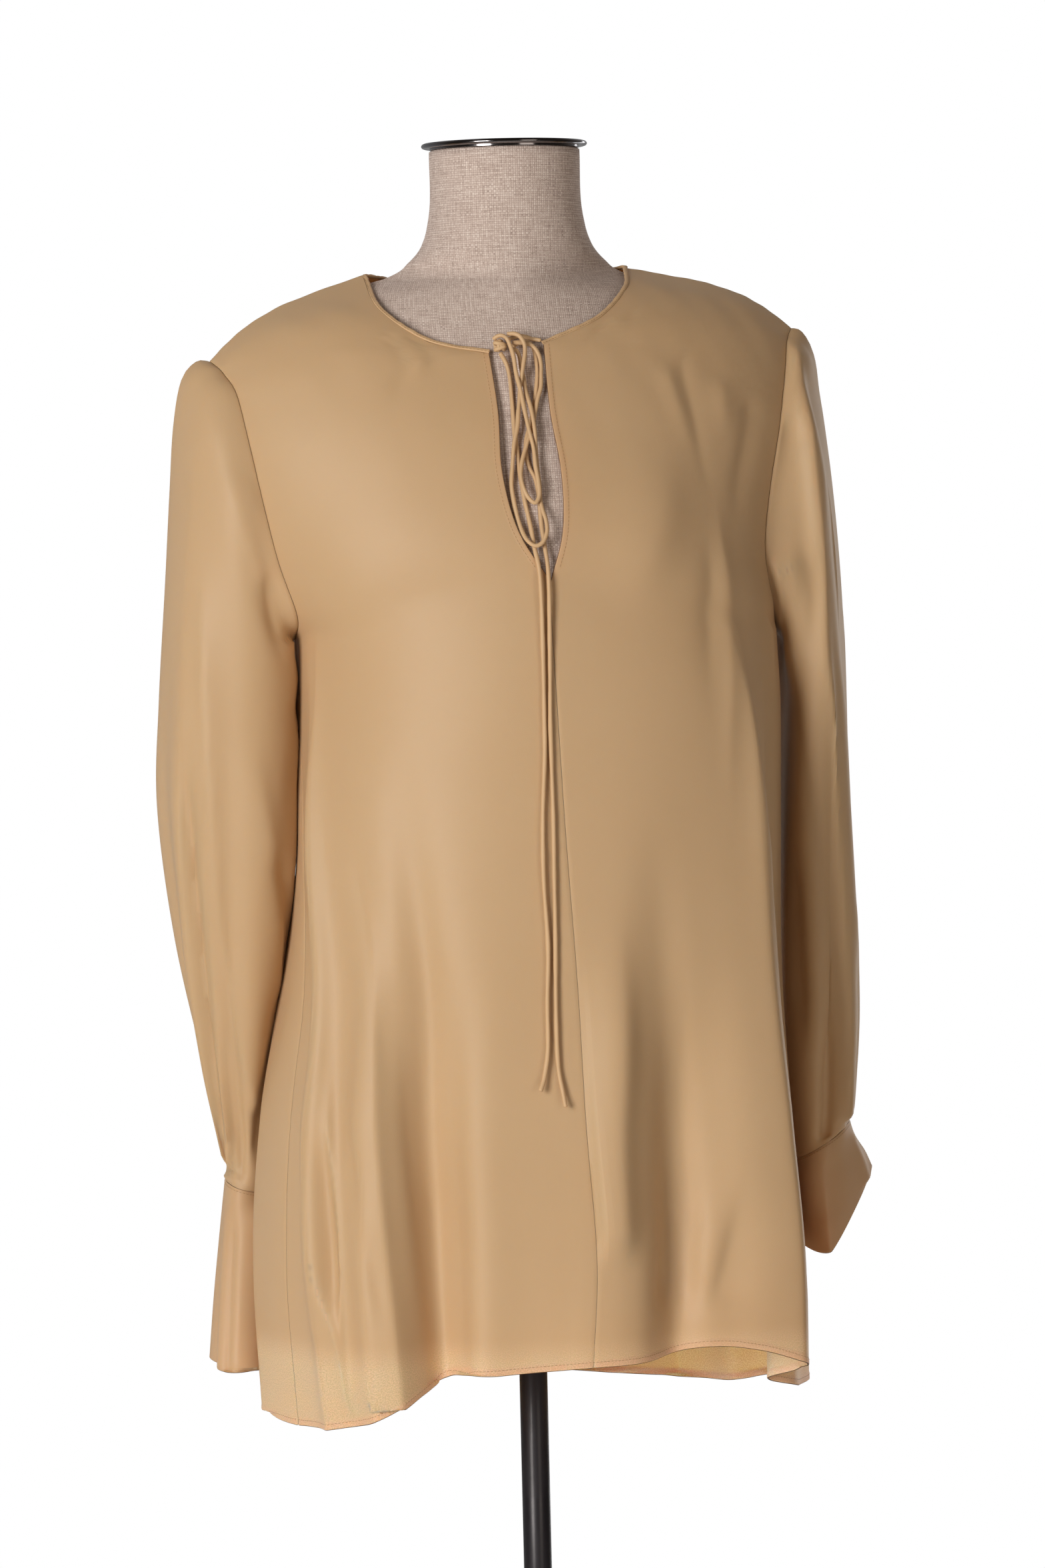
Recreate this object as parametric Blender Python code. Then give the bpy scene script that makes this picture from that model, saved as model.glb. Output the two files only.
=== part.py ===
"""Tunic top on a limbless dress form with its stand.

Metres, +Z up. The origin is under the middle of the round base plate, the front faces -Y and +X is
the wearer's left. Every cloth piece is one wall, grown from a middle surface: panels are rows of
curves from the centre line to the side, sleeves and cuffs are rows of rings. All middle surfaces
share their seam points, so that the pieces meet with the same slope, and each is then drawn back
from its seams by half the seam gap. Tables are in millimetres, and their x counts outwards from
the middle, so that both sides of the garment read alike.
"""
from collections import namedtuple
import math

import bmesh
import bpy
import numpy as np

MM = 0.001

# Cloth
WALL = 1.4
SEAM_GAP = 0.5
BINDING_WIDTH = 3.0
BINDING_WALL = 2.0
CORD_DIAMETER = 2.8

# Dress form and stand
CAP_TOP = 1500.0
CAP_THICK = 3.6
CAP_RADIUS = 55.8
CAP_EDGE = 1.2
FIT_GAP = 0.3
FORM_BOTTOM = 700.0
FORM_TOP = CAP_TOP - CAP_THICK - FIT_GAP
FORM_AROUND = 32
POLE_RADIUS = 9.5
POLE_AROUND = 24
BASE_RADIUS = 150.0
BASE_THICK = 8.0
BASE_AROUND = 48

# How finely the cloth is cut up: columns across a panel, and steps from each table row to the next.
COLUMNS = 13
ROW_STEPS = (2, 2, 2, 2, 2, 1, 2, 2, 2, 1, 2, 1, 2, 1)
SLEEVE_STEPS = (1, 1, 1, 1, 1, 1, 2, 2, 2, 2, 2)
CUFF_STEPS = (1, 2, 2)

# A row of a panel, from the centre line (c) to the side (e). turn is the direction in plan in which
# the row arrives at the side: 0 is sideways, 90 straight back. reach_c and reach_e are the lengths
# of the two handles of its curve, as shares of its span, and arch lifts the handle at the side.
Row = namedtuple("Row", "cx cy cz ex ey ez turn reach_c reach_e arch")
ARCH_SHARE = 0.35           # of that lift, at the handle next to the centre
UNDERARM_ROW = 6
KEYHOLE_ROW = 7
NECK_ROW = 11
BACK_NECK_ROW = 12
TOP_ROW = 14

FRONT_LEFT = (
    Row(16, -138, 690, 191, 45, 650, 80, 0.60, 0.56, 0),       # hem
    Row(20, -138, 760, 190, 40, 745, 79, 0.60, 0.56, 0),
    Row(15, -137, 850, 184, 34, 845, 78, 0.60, 0.56, 0),
    Row(12, -135, 940, 179.5, 26, 940, 80, 0.58, 0.54, 0),
    Row(7, -132, 1040, 179.5, 16, 1040, 84, 0.55, 0.50, 0),
    Row(4, -129, 1120, 179.5, 8, 1120, 88, 0.51, 0.45, 0),
    Row(2.3, -126, 1172, 178, 0, 1168, 86, 0.48, 0.41, 0),     # underarm
    Row(2.7, -122, 1206, 171, -34, 1186, 72, 0.48, 0.34, 0),   # foot of the keyhole
    Row(12, -120, 1239, 163, -48, 1222, 58, 0.47, 0.31, 0),
    Row(13.5, -111, 1278, 167, -47, 1260, 50, 0.44, 0.31, 0),
    Row(9.5, -98, 1318, 176, -40, 1302, 46, 0.40, 0.30, 0),
    Row(9.5, -80, 1362, 183, -28, 1336, 44, 0.34, 0.30, 2),    # corner of keyhole and neckline
    Row(50, -64, 1379, 188, -14, 1359, 38, 0.33, 0.30, 10),
    Row(75, -36, 1400, 191, -7, 1366, 20, 0.33, 0.32, 17),
    Row(83, 3, 1415, 195, 0, 1372, 0, 0.33, 0.33, 19),          # shoulder seam
)
FRONT_RIGHT = (
    Row(-16, -138, 690, 168, -48, 648, 60, 0.56, 0.43, 0),
    Row(-20, -138, 760, 173, -46, 748, 62, 0.56, 0.43, 0),
    Row(-15, -137, 850, 168, -42, 846, 66, 0.55, 0.43, 0),
    Row(-12, -135, 940, 155, -36, 940, 72, 0.53, 0.44, 0),
    Row(-7, -132, 1040, 151, -24, 1040, 84, 0.48, 0.40, 0),
    Row(-4, -129, 1120, 149, -10, 1120, 86, 0.42, 0.40, 0),
    Row(-2.3, -126, 1172, 150, 0, 1170, 86, 0.42, 0.40, 0),
    Row(-2.7, -122, 1206, 153, -34, 1186, 72, 0.40, 0.34, 0),
    Row(17.5, -120, 1239, 166, -47, 1220, 58, 0.38, 0.30, 0),
    Row(26, -111, 1278, 175, -48, 1258, 50, 0.36, 0.30, 0),
    Row(25.5, -98, 1318, 183, -42, 1300, 46, 0.36, 0.30, 0),
    Row(27.5, -80, 1357, 189, -29, 1334, 44, 0.34, 0.30, 4),
    Row(66, -67, 1366, 195, -17, 1347, 38, 0.33, 0.30, 12),
    Row(94, -41, 1388, 199, -10, 1353, 20, 0.33, 0.32, 18),
    Row(98, 3, 1412, 203, 0, 1357, 0, 0.33, 0.33, 21),
)
FRONT_CENTRE_CORNERS = (KEYHOLE_ROW, NECK_ROW)

# The back shares its side seams and shoulder seams with the fronts. Its own centre line, up to the
# neck, then one point of its neckline on each side; here x counts towards the wearer's left.
CentreBack = namedtuple("CentreBack", "x y z")
BACK_CENTRE = (
    CentreBack(-4, 132, 650),
    CentreBack(-4, 131, 748),
    CentreBack(-4, 129, 846),
    CentreBack(-4, 124, 940),
    CentreBack(-5, 118, 1040),
    CentreBack(-5, 112, 1120),
    CentreBack(-5, 108, 1172),
    CentreBack(-5, 106.5, 1200),
    CentreBack(-5, 105, 1240),
    CentreBack(-5, 101, 1280),
    CentreBack(-6, 94.5, 1320),
    CentreBack(-6, 84, 1360),
    CentreBack(-7, 66, 1400),
)
BACK_REACH = 0.42           # longest handle of the back, which is rounder than the front
BACK_NECK_SHARE = 0.55      # of the way out to the neck point, where the neckline's own point lies
BACK_NECK_POINT = CentreBack(-7, 51, 1408)
# Where the back's armhole edge lies, against the front's edge at the same row.
BackEdge = namedtuple("BackEdge", "y lift")
BACK_ARMHOLE = (
    BackEdge(30, 0), BackEdge(50, 0), BackEdge(60, 2), BackEdge(57, 3), BackEdge(44, 4),
    BackEdge(27, 4), BackEdge(13, 2),
)

# A fold, from the row where it is born to the row where it is fullest: its place across the piece,
# from 0 at the centre to 1 at the side, how far it pushes the cloth out, and its width.
Fold = namedtuple("Fold", "born full at_born at_full push wide_born wide_full sharp")
BELOW_HEM = -0.5
FOLDS = {
    "front_left": (
        Fold(4.2, 1.4, 0.19, 0.16, -19, 0.06, 0.065, 2.0),
        Fold(4.8, 1.4, 0.30, 0.26, -13, 0.12, 0.12, 2.0),
        Fold(6.6, 2.0, 0.53, 0.51, 15, 0.05, 0.085, 1.3),
        Fold(6.2, 1.4, 0.70, 0.67, -21, 0.07, 0.065, 2.0),
        Fold(5.5, 0.6, 0.92, 0.95, 9, 0.08, 0.08, 2.0),
    ),
    "front_right": (
        Fold(4.8, 1.4, 0.46, 0.41, -22, 0.08, 0.07, 2.0),
        Fold(4.4, 1.4, 0.38, 0.355, -8, 0.10, 0.08, 2.0),
        Fold(3.6, 1.4, 0.66, 0.62, 12, 0.06, 0.07, 1.5),
        Fold(6.4, 1.4, 0.88, 0.82, 12, 0.05, 0.06, 1.4),
        Fold(3.5, BELOW_HEM, 0.20, 0.16, -7, 0.12, 0.12, 2.0),
    ),
    "back_left": (
        Fold(4.8, BELOW_HEM, 0.34, 0.30, -20, 0.10, 0.12, 2.0),
        Fold(5.6, BELOW_HEM, 0.60, 0.66, -16, 0.08, 0.09, 2.0),
    ),
    "back_right": (
        Fold(5.2, BELOW_HEM, 0.24, 0.28, -22, 0.10, 0.11, 2.0),
        Fold(4.4, BELOW_HEM, 0.62, 0.60, -17, 0.08, 0.09, 2.0),
    ),
    "sleeve_left": (
        Fold(0.5, 4, 0.12, 0.13, 5, 0.04, 0.05, 1.3),
        Fold(3.0, 9, 0.20, 0.24, -7, 0.05, 0.05, 2.0),
        Fold(5.0, 9, 0.92, 0.94, -8, 0.05, 0.05, 2.0),
        Fold(4.0, 9, 0.66, 0.64, -7, 0.06, 0.06, 2.0),
    ),
    "sleeve_right": (
        Fold(1.0, 8, 0.10, 0.12, 6, 0.04, 0.04, 1.4),
        Fold(5.0, 9, 0.04, 0.05, -9, 0.04, 0.035, 2.0),
        Fold(3.0, 8, 0.20, 0.24, -7, 0.05, 0.05, 2.0),
        Fold(4.0, 9, 0.86, 0.88, -8, 0.06, 0.06, 2.0),
        Fold(4.0, 9, 0.66, 0.64, -7, 0.06, 0.06, 2.0),
    ),
    "cuff_left": (
        Fold(0.2, 3, 0.80, 0.80, -6, 0.05, 0.07, 2.0),
    ),
    "cuff_right": (
        Fold(0.2, 3, 0.11, 0.12, -8, 0.03, 0.04, 2.0),
        Fold(0.2, 3, 0.70, 0.72, -8, 0.05, 0.07, 2.0),
    ),
}
# The hem's height over the straight line between its two ends, by place across the piece.
HemPoint = namedtuple("HemPoint", "across lift")
HEM = {
    "front_left": (
        HemPoint(0, 0), HemPoint(0.12, 6), HemPoint(0.24, 16), HemPoint(0.40, 18),
        HemPoint(0.60, 6), HemPoint(0.77, -3), HemPoint(1, 0),
    ),
    "front_right": (
        HemPoint(0, 0), HemPoint(0.20, 5), HemPoint(0.38, 10), HemPoint(0.47, 4),
        HemPoint(0.62, -5), HemPoint(0.80, -5), HemPoint(1, 0),
    ),
    "back_left": (
        HemPoint(0, 0), HemPoint(0.30, -2), HemPoint(0.50, -9), HemPoint(0.68, -8),
        HemPoint(0.85, -3), HemPoint(1, 0),
    ),
    "back_right": (
        HemPoint(0, 0), HemPoint(0.28, 3), HemPoint(0.45, -2), HemPoint(0.60, 2),
        HemPoint(1, 0),
    ),
}
HEM_REACH = 3               # rows over which the hem's own line fades out upwards

# A ring of a sleeve or cuff: its outer point (o), its inner point (i), its size from front to back,
# how far its front and rear hang below them, its squareness (2 is an ellipse, less is a diamond),
# and how much of the armhole's own shape it keeps.
Ring = namedtuple("Ring", "ox oy oz ix iy iz depth dip square keep")
SLEEVE_LEFT = (
    Ring(195, 0, 1372, 178, 0, 1168, 100, 0, 2, 1.0),
    Ring(203, 2, 1369, 185.5, 2, 1164, 104, 0, 2, 0.85),
    Ring(211, 4, 1354, 188.5, 4, 1154, 108, 0, 2, 0.60),
    Ring(217, 8, 1322, 188, 8, 1138, 110, 0, 2, 0.30),
    Ring(222, 12, 1280, 188, 13, 1113, 108, 0, 2, 0.10),
    Ring(227, 16, 1220, 187, 18, 1074, 106, 0, 2, 0),
    Ring(232, 22, 1150, 186.5, 26, 1024, 104, 0, 2, 0),
    Ring(236, 30, 1060, 187, 36, 965, 100, 0, 2, 0),
    Ring(239, 38, 970, 188.5, 44, 905, 98, 0, 2, 0),
    Ring(240, 44, 895, 190.5, 50, 852, 94, 0, 2, 0),
    Ring(238, 48, 848, 193.5, 54, 816, 88, 0, 2, 0),
    Ring(235, 50, 826, 195, 56, 800, 84, 0, 2, 0),
)
SLEEVE_RIGHT = (
    Ring(203, 0, 1357, 150, 0, 1170, 100, 0, 2, 1.0),
    Ring(212, 1, 1357, 157.5, 2, 1166, 104, 0, 2, 0.85),
    Ring(222, 3, 1345, 157.5, 3, 1155, 108, 0, 2, 0.60),
    Ring(228, 6, 1314, 154.5, 6, 1138, 110, 0, 2, 0.30),
    Ring(231, 8, 1270, 152, 9, 1112, 110, 0, 2, 0.10),
    Ring(235, 11, 1210, 152, 12, 1074, 108, 0, 2, 0),
    Ring(241, 15, 1130, 153, 17, 1026, 106, 0, 2, 0),
    Ring(243, 24, 1060, 157, 26, 970, 104, 0, 2, 0),
    Ring(232, 44, 970, 161, 40, 905, 100, 0, 2, 0),
    Ring(215, 64, 890, 162, 55, 852, 94, 0, 2, 0),
    Ring(202, 74, 838, 162, 63, 815, 88, 0, 2, 0),
    Ring(195, 78, 803, 162, 66, 792, 84, 0, 2, 0),
)
CUFF_LEFT = (
    SLEEVE_LEFT[-1],
    Ring(239, 50, 814, 196, 60, 784, 94, 4, 1.8, 0),
    Ring(246, 51, 803, 197, 64, 765, 106, 16, 1.5, 0),
    Ring(251, 52, 792, 197, 66, 748, 116, 30, 1.25, 0),
)
CUFF_RIGHT = (
    SLEEVE_RIGHT[-1],
    Ring(200, 79, 764, 164, 67, 756, 98, 0, 2, 0),
    Ring(205, 80, 722, 166, 68, 716, 116, 0, 2, 0),
    Ring(209, 81, 681, 168, 69, 676, 132, 2, 2, 0),
)

# The tie, as lengths of cord that leave one small knot: (steps between points, points).
Cord = namedtuple("Cord", "steps route")
CORDS = {
    "tie_tail_left": Cord(1, (
        (-20.5, -85, 1356.5), (-18, -84.5, 1352.5), (-16, -85.5, 1347), (-15, -88, 1338),
        (-15, -92, 1326), (-15, -96.5, 1313.5), (-15, -100.5, 1301.5), (-14, -104.5, 1289),
        (-13.5, -108.5, 1275.5), (-11.5, -113.5, 1258), (-9, -118.5, 1241.5),
        (-7.5, -122, 1228.5), (-5.5, -125.5, 1216), (-5, -127.5, 1203), (-5, -129.5, 1181.5),
        (-5, -130.5, 1151), (-5.5, -132, 1118.5), (-6, -133, 1091), (-8.5, -134.5, 1051),
        (-9, -136, 1011.5), (-7.5, -137, 967), (-9, -138, 931), (-9.5, -138.5, 901),
        (-12.5, -140, 883), (-15.5, -142, 874.5),
    )),
    "tie_tail_right": Cord(1, (
        (-11, -80.5, 1361.5), (-7, -80, 1364), (-2, -80, 1364), (2, -80, 1361),
        (3.5, -82.5, 1353.5), (3.5, -86.5, 1343), (1.5, -91, 1331.5), (-1, -94, 1320),
        (-4, -98, 1309.5), (-7.5, -101.5, 1299), (-8.5, -105, 1289.5), (-7, -106.5, 1281.5),
        (-4, -109, 1274.5), (-2.5, -111.5, 1266), (-2, -114.5, 1255.5), (-1.5, -117.5, 1242),
        (-0.5, -121, 1229.5), (0.5, -125, 1216), (0.5, -127.5, 1201), (0, -129.5, 1181.5),
        (-0.5, -130.5, 1151), (-1.5, -132, 1118), (-1.5, -133, 1091), (-1.5, -134.5, 1050.5),
        (-2, -136, 1011), (-2.5, -137, 967), (-3.5, -138.5, 921), (-3, -139, 890.5),
        (-0.5, -140.5, 872.5), (0.5, -143, 863.5),
    )),
    "tie_loop_left": Cord(2, (
        (-24.5, -83.5, 1366.5), (-22.5, -84.5, 1368), (-19.5, -86, 1368.5),
        (-16.5, -86.5, 1366.5), (-14.5, -88, 1361.5), (-13, -90.5, 1354.5), (-12, -94, 1343),
        (-10, -98, 1331.5), (-8.5, -101.5, 1320), (-6.5, -106.5, 1305.5), (-4.5, -110, 1294),
        (-4, -113, 1282.5), (-3, -116.5, 1272), (-3, -119, 1263), (-6, -120.5, 1258),
        (-10, -119.5, 1261), (-13, -117.5, 1267.5), (-14, -113.5, 1276.5), (-12, -109.5, 1286),
        (-8.5, -106, 1295.5), (-4.5, -103, 1305), (-1.5, -99.5, 1315), (1.5, -95.5, 1325.5),
        (4.5, -92.5, 1334), (5.5, -89.5, 1342.5), (6, -87, 1349), (5, -85, 1355.5),
        (2, -84, 1360.5), (-2.5, -83.5, 1363), (-7, -83.5, 1363.5), (-11.5, -83.5, 1363.5),
    )),
    "tie_loop_right": Cord(2, (
        (-15, -83.5, 1369.5), (-11, -85, 1369.5), (-7.5, -87, 1367.5), (-5, -88, 1362.5),
        (-5, -89.5, 1356.5), (-6.5, -91.5, 1349.5), (-8, -93, 1342.5), (-9.5, -94, 1334.5),
        (-10.5, -95.5, 1325.5), (-12, -98.5, 1317.5), (-13.5, -102, 1308), (-16.5, -105.5, 1297),
        (-18.5, -108.5, 1283), (-20, -111.5, 1270), (-19, -114.5, 1258), (-17, -117, 1247),
        (-14.5, -120.5, 1238), (-11.5, -124.5, 1232.5), (-7, -126, 1230), (-2.5, -126, 1232.5),
        (0.5, -124.5, 1239), (0.5, -122, 1246.5), (-1, -119.5, 1253), (-2, -116.5, 1260.5),
        (-2, -113, 1272), (-2.5, -110, 1282.5), (-2.5, -107.5, 1292), (-2.5, -106.5, 1301.5),
        (-3, -104, 1311.5), (-4, -100, 1321), (-6, -96, 1330), (-6.5, -90, 1339.5),
        (-7.5, -87, 1347.5), (-8, -85, 1354.5), (-10, -84.5, 1358.5), (-13, -84.5, 1359),
    )),
    "tie_bridge": Cord(2, (
        (7.3, -78.6, 1365), (5, -77.6, 1365.5), (2, -76.5, 1366), (-2.5, -76.5, 1367.5),
        (-6.5, -76.5, 1368), (-11, -78, 1367), (-14, -79.5, 1366),
    )),
}
KNOT_CENTRE = (-20.5, -81.5, 1362)
KNOT_RADII = (5.6, 4.6, 4.4)
KNOT_WRAP = 0.09            # how deep its turns of cord cut in, as a share of its radius
KNOT_TURNS = 3

# A level of the dress form: half its width, its reach to front and back, and how square it is
# across (2 is an ellipse) and towards its sides (under 1 draws them out into shoulders).
Level = namedtuple("Level", "z half_width front back across sides")
FORM = (
    Level(FORM_BOTTOM, 148, 102, 98, 2.2, 2.2),
    Level(706, 151, 105, 101, 2.2, 2.2),
    Level(760, 156, 109, 107, 2.2, 2.2),
    Level(850, 153, 109, 109, 2.2, 2.2),
    Level(940, 139, 100, 101, 2.2, 2.2),
    Level(1040, 119, 88, 86, 2.2, 2.2),
    Level(1120, 130, 104, 94, 2.2, 2.2),
    Level(1180, 142, 117, 100, 2.2, 2.2),
    Level(1220, 150, 117, 101, 2.1, 2.1),
    Level(1260, 156, 111, 99, 2.0, 2.0),
    Level(1300, 165, 99, 93, 1.95, 1.75),
    Level(1335, 173, 87, 85, 1.9, 1.4),
    Level(1360, 176, 76, 76, 1.8, 1.15),
    Level(1374, 173, 69, 70, 1.7, 0.95),
    Level(1385, 160, 64, 65, 1.6, 0.9),
    Level(1393, 143, 61, 62, 1.6, 0.85),
    Level(1400, 122, 58.5, 59.5, 1.6, 0.85),
    Level(1406, 99, 56.5, 57, 1.65, 0.82),
    Level(1410, 84, 55, 55, 1.7, 0.85),
    Level(1414, 74.5, 53.5, 53.5, 1.75, 1.0),
    Level(1420, 67.5, 52.5, 52.5, 1.8, 1.3),
    Level(1427, 60.5, 51.8, 52, 1.9, 1.8),
    Level(1436, 55.5, 51.3, 51.5, 2.0, 2.0),
    Level(1448, 52.5, 51, 51, 2.0, 2.0),
    Level(FORM_TOP, 50.6, 50.6, 50.6, 2.0, 2.0),
)


# --------------------------------------------------------------------------- curves
def smooth(knots, values, at, corners=()):
    """A cubic curve through the knots, which may turn sharply at the knots named as corners."""
    knots = np.asarray(knots, float)
    values = np.asarray(values, float)
    at = np.asarray(at, float)
    out = np.empty(at.shape + values.shape[1:])
    cuts = [0, *(int(np.searchsorted(knots, c)) for c in corners), len(knots) - 1]
    for first, last in zip(cuts[:-1], cuts[1:]):
        inside = at >= knots[first]
        k = knots[first:last + 1]
        v = values[first:last + 1]
        slope = np.gradient(v, k, axis=0)
        i = np.clip(np.searchsorted(k, at[inside], side="right") - 1, 0, len(k) - 2)
        span = k[i + 1] - k[i]
        t = (at[inside] - k[i]) / span
        if v.ndim > 1:
            span = span[:, None]
            t = t[:, None]
        out[inside] = (
            (2 * t**3 - 3 * t**2 + 1) * v[i]
            + (t**3 - 2 * t**2 + t) * span * slope[i]
            + (3 * t**2 - 2 * t**3) * v[i + 1]
            + (t**3 - t**2) * span * slope[i + 1]
        )
    return out


def steps(counts):
    """Places between table rows: each interval is cut into its count of steps."""
    places = [0.0]
    for row, count in enumerate(counts):
        places += [row + (i + 1) / count for i in range(count)]
    return np.array(places)


def fold_push(folds, across, row):
    """How far the folds push the cloth out, at places across a piece and along its rows."""
    push = np.zeros(np.broadcast(across, row).shape)
    for fold in folds:
        grown = np.clip((row - fold.born) / (fold.full - fold.born), 0, 1)
        at = fold.at_born + (fold.at_full - fold.at_born) * grown
        wide = fold.wide_born + (fold.wide_full - fold.wide_born) * grown
        push = push + fold.push * grown**1.4 * np.exp(-np.abs((across - at) / wide)**fold.sharp)
    return push


def outward(points, sign):
    """Unit normals of a grid of points, along its outer side."""
    normal = np.cross(np.gradient(points, axis=1), np.gradient(points, axis=0)) * sign
    return normal / np.maximum(np.linalg.norm(normal, axis=2, keepdims=True), 1e-9)


# --------------------------------------------------------------------------- panels
def back_rows(front, side):
    """Rows of the half of the back that is sewn to this front."""
    rows = []
    for number, row in enumerate(front):
        edge = (row.ex, row.ey, row.ez)
        turn = row.turn
        if number <= UNDERARM_ROW:
            turn = 180 - row.turn
        elif number < TOP_ROW:
            shift = BACK_ARMHOLE[number - UNDERARM_ROW - 1]
            edge = (row.ex, shift.y, row.ez + shift.lift)
        if number <= BACK_NECK_ROW:
            middle = BACK_CENTRE[number]
            centre = (side * middle.x, middle.y, middle.z)
        elif number < TOP_ROW:
            inner = side * BACK_NECK_POINT.x
            x = inner + (front[-1].cx - inner) * BACK_NECK_SHARE
            centre = (x, BACK_NECK_POINT.y, BACK_NECK_POINT.z)
        else:
            centre = (front[-1].cx, front[-1].cy, front[-1].cz)
        handles = min(row.reach_c, BACK_REACH), min(row.reach_e, BACK_REACH)
        rows.append(Row(*centre, *edge, turn, *handles, row.arch))
    return rows


def panel_points(rows, side, facing, centre_corners, piece):
    """Middle surface of a quarter of the body, as an array of row, column and xyz.

    side is 1 on the wearer's left, and facing is 1 on the front.
    """
    table = np.array(rows, float)
    number = np.arange(len(rows))
    at = steps(ROW_STEPS)
    centre = smooth(number, table[:, 0:3], at, centre_corners)
    edge = smooth(number, table[:, 3:6], at, (UNDERARM_ROW,))
    shape = smooth(number, table[:, 6:10], at, (UNDERARM_ROW,))
    turn = np.radians(shape[:, 0])
    span = np.hypot(edge[:, 0] - centre[:, 0], edge[:, 1] - centre[:, 1])
    rise = (edge[:, 2] - centre[:, 2]) / 3
    arch = shape[:, 3]
    start = np.stack([shape[:, 1] * span, 0 * rise, rise + arch * ARCH_SHARE], 1)
    arrive = np.stack([np.cos(turn), facing * np.sin(turn), 0 * turn], 1)
    arrive *= (shape[:, 2] * span)[:, None]
    arrive[:, 2] = rise - arch
    p = np.linspace(0, 1, COLUMNS + 1)[None, :, None]
    points = (
        (1 - p)**3 * centre[:, None]
        + 3 * (1 - p)**2 * p * (centre + start)[:, None]
        + 3 * (1 - p) * p**2 * (edge - arrive)[:, None]
        + p**3 * edge[:, None]
    )
    across = p[0, :, 0]
    hem = np.array(HEM[piece])
    lift = smooth(hem[:, 0], hem[:, 1], across)
    points[:, :, 2] += lift * np.clip(1 - at / HEM_REACH, 0, 1)[:, None]
    points[:, :, 0] *= side
    away = outward(points, side * facing)
    held = np.clip(np.minimum(across, 1 - across) / 0.05, 0, 1)
    push = fold_push(FOLDS[piece], across[None, :], at[:, None]) * held
    return points + away * push[:, :, None]


# --------------------------------------------------------------------------- sleeves and cuffs
def armhole(front, back):
    """The loop of seam points from the shoulder down the front edge and up the back edge."""
    upper = np.flatnonzero(steps(ROW_STEPS) >= UNDERARM_ROW)
    return np.concatenate([front[upper[::-1], -1], back[upper[1:-1], -1]])


def loop_angles(loop):
    """Angles round a loop by its length: 0 at its first point, pi half way along its list."""
    half = len(loop) // 2
    closed = np.vstack([loop, loop[:1]])
    run = np.concatenate([[0], np.cumsum(np.linalg.norm(np.diff(closed, axis=0), axis=1))])
    front = run[:half] / run[half]
    rear = 1 + (run[half:-1] - run[half]) / (run[-1] - run[half])
    return np.concatenate([front, rear]) * math.pi


def ring_frame(row):
    """Middle of a ring, its half axes outwards and to the front, and the direction across it."""
    outer = row[..., 0:3]
    inner = row[..., 3:6]
    reach = (outer - inner) / 2
    plan = reach[..., :2] / np.linalg.norm(reach[..., :2], axis=-1, keepdims=True)
    side = np.stack([plan[..., 1], -plan[..., 0], 0 * plan[..., 0]], -1)
    width = side * row[..., 6:7] / 2
    across = np.cross(reach, width)
    across = across / np.linalg.norm(across, axis=-1, keepdims=True)
    return (outer + inner) / 2, reach, width, across


def rounded(value, square):
    return np.sign(value) * np.abs(value)**(2 / square)


def tube_points(rings, counts, loop, side, piece):
    """Middle surface of a sleeve or cuff, as an array of ring, angle and xyz."""
    row = smooth(np.arange(len(rings)), np.array(rings, float), steps(counts))
    number = steps(counts)[:, None]
    middle, reach, width, axis = ring_frame(row)
    angle = loop_angles(loop)
    c = rounded(np.cos(angle), row[:, 8:9])
    s = rounded(np.sin(angle), row[:, 8:9])
    keep = row[:, 9:10]
    off = loop * (side, 1, 1) - middle[0]
    c = c + keep * (off @ reach[0] / (reach[0] @ reach[0]) - c)
    s = s + keep * (off @ width[0] / (width[0] @ width[0]) - s)
    w = keep * (off @ axis[0])
    points = (
        middle[:, None]
        + c[:, :, None] * reach[:, None]
        + s[:, :, None] * width[:, None]
        + w[:, :, None] * axis[:, None]
    )
    points[:, :, 2] -= row[:, 7:8] * np.abs(s)
    away = outward(np.concatenate([points[:, -1:], points, points[:, :1]], axis=1), 1)[:, 1:-1]
    turns = angle[None, :] / (2 * math.pi)
    push = sum(fold_push(FOLDS[piece], turns + whole, number) for whole in (-1, 0, 1))
    held = np.clip(number / 0.5, 0, 1)
    if piece.startswith("sleeve"):
        held = held * np.clip((len(rings) - 1 - number) / 0.5, 0, 1)
    points = points + away * (push * held)[:, :, None]
    points[:, :, 0] *= side
    return points


# --------------------------------------------------------------------------- walls
def grid_faces(index, flip):
    """Quads of a grid of vertex numbers."""
    faces = []
    for i in range(index.shape[0] - 1):
        for j in range(index.shape[1] - 1):
            quad = [index[i, j], index[i, j + 1], index[i + 1, j + 1], index[i + 1, j]]
            faces.append([int(v) for v in (quad[::-1] if flip else quad)])
    return faces


def sheet(points, flip, closed=False):
    """A grid of points as a flat list of points and its faces."""
    count = points.shape[0] * points.shape[1]
    index = np.arange(count).reshape(points.shape[:2])
    if closed:
        index = np.concatenate([index, index[:, :1]], axis=1)
    return points.reshape(-1, 3), grid_faces(index, flip)


def joined(first, second):
    points = np.concatenate([first[0], second[0]])
    return points, first[1] + [[v + len(first[0]) for v in f] for f in second[1]]


def place_key(point):
    return tuple(np.round(point, 2) + 0.0)


def welded(points, faces):
    """The same mesh with points at one place made one."""
    numbers = {}
    back = [numbers.setdefault(place_key(p), len(numbers)) for p in points]
    first = [back.index(n) for n in range(len(numbers))]
    faces = [list(dict.fromkeys(back[v] for v in face)) for face in faces]
    return points[first], [face for face in faces if len(face) > 2]


def rim(faces):
    """Directed edges that only one face has."""
    edges = {(face[i - 1], face[i]) for face in faces for i in range(len(face))}
    return sorted((a, b) for a, b in edges if (b, a) not in edges)


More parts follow.
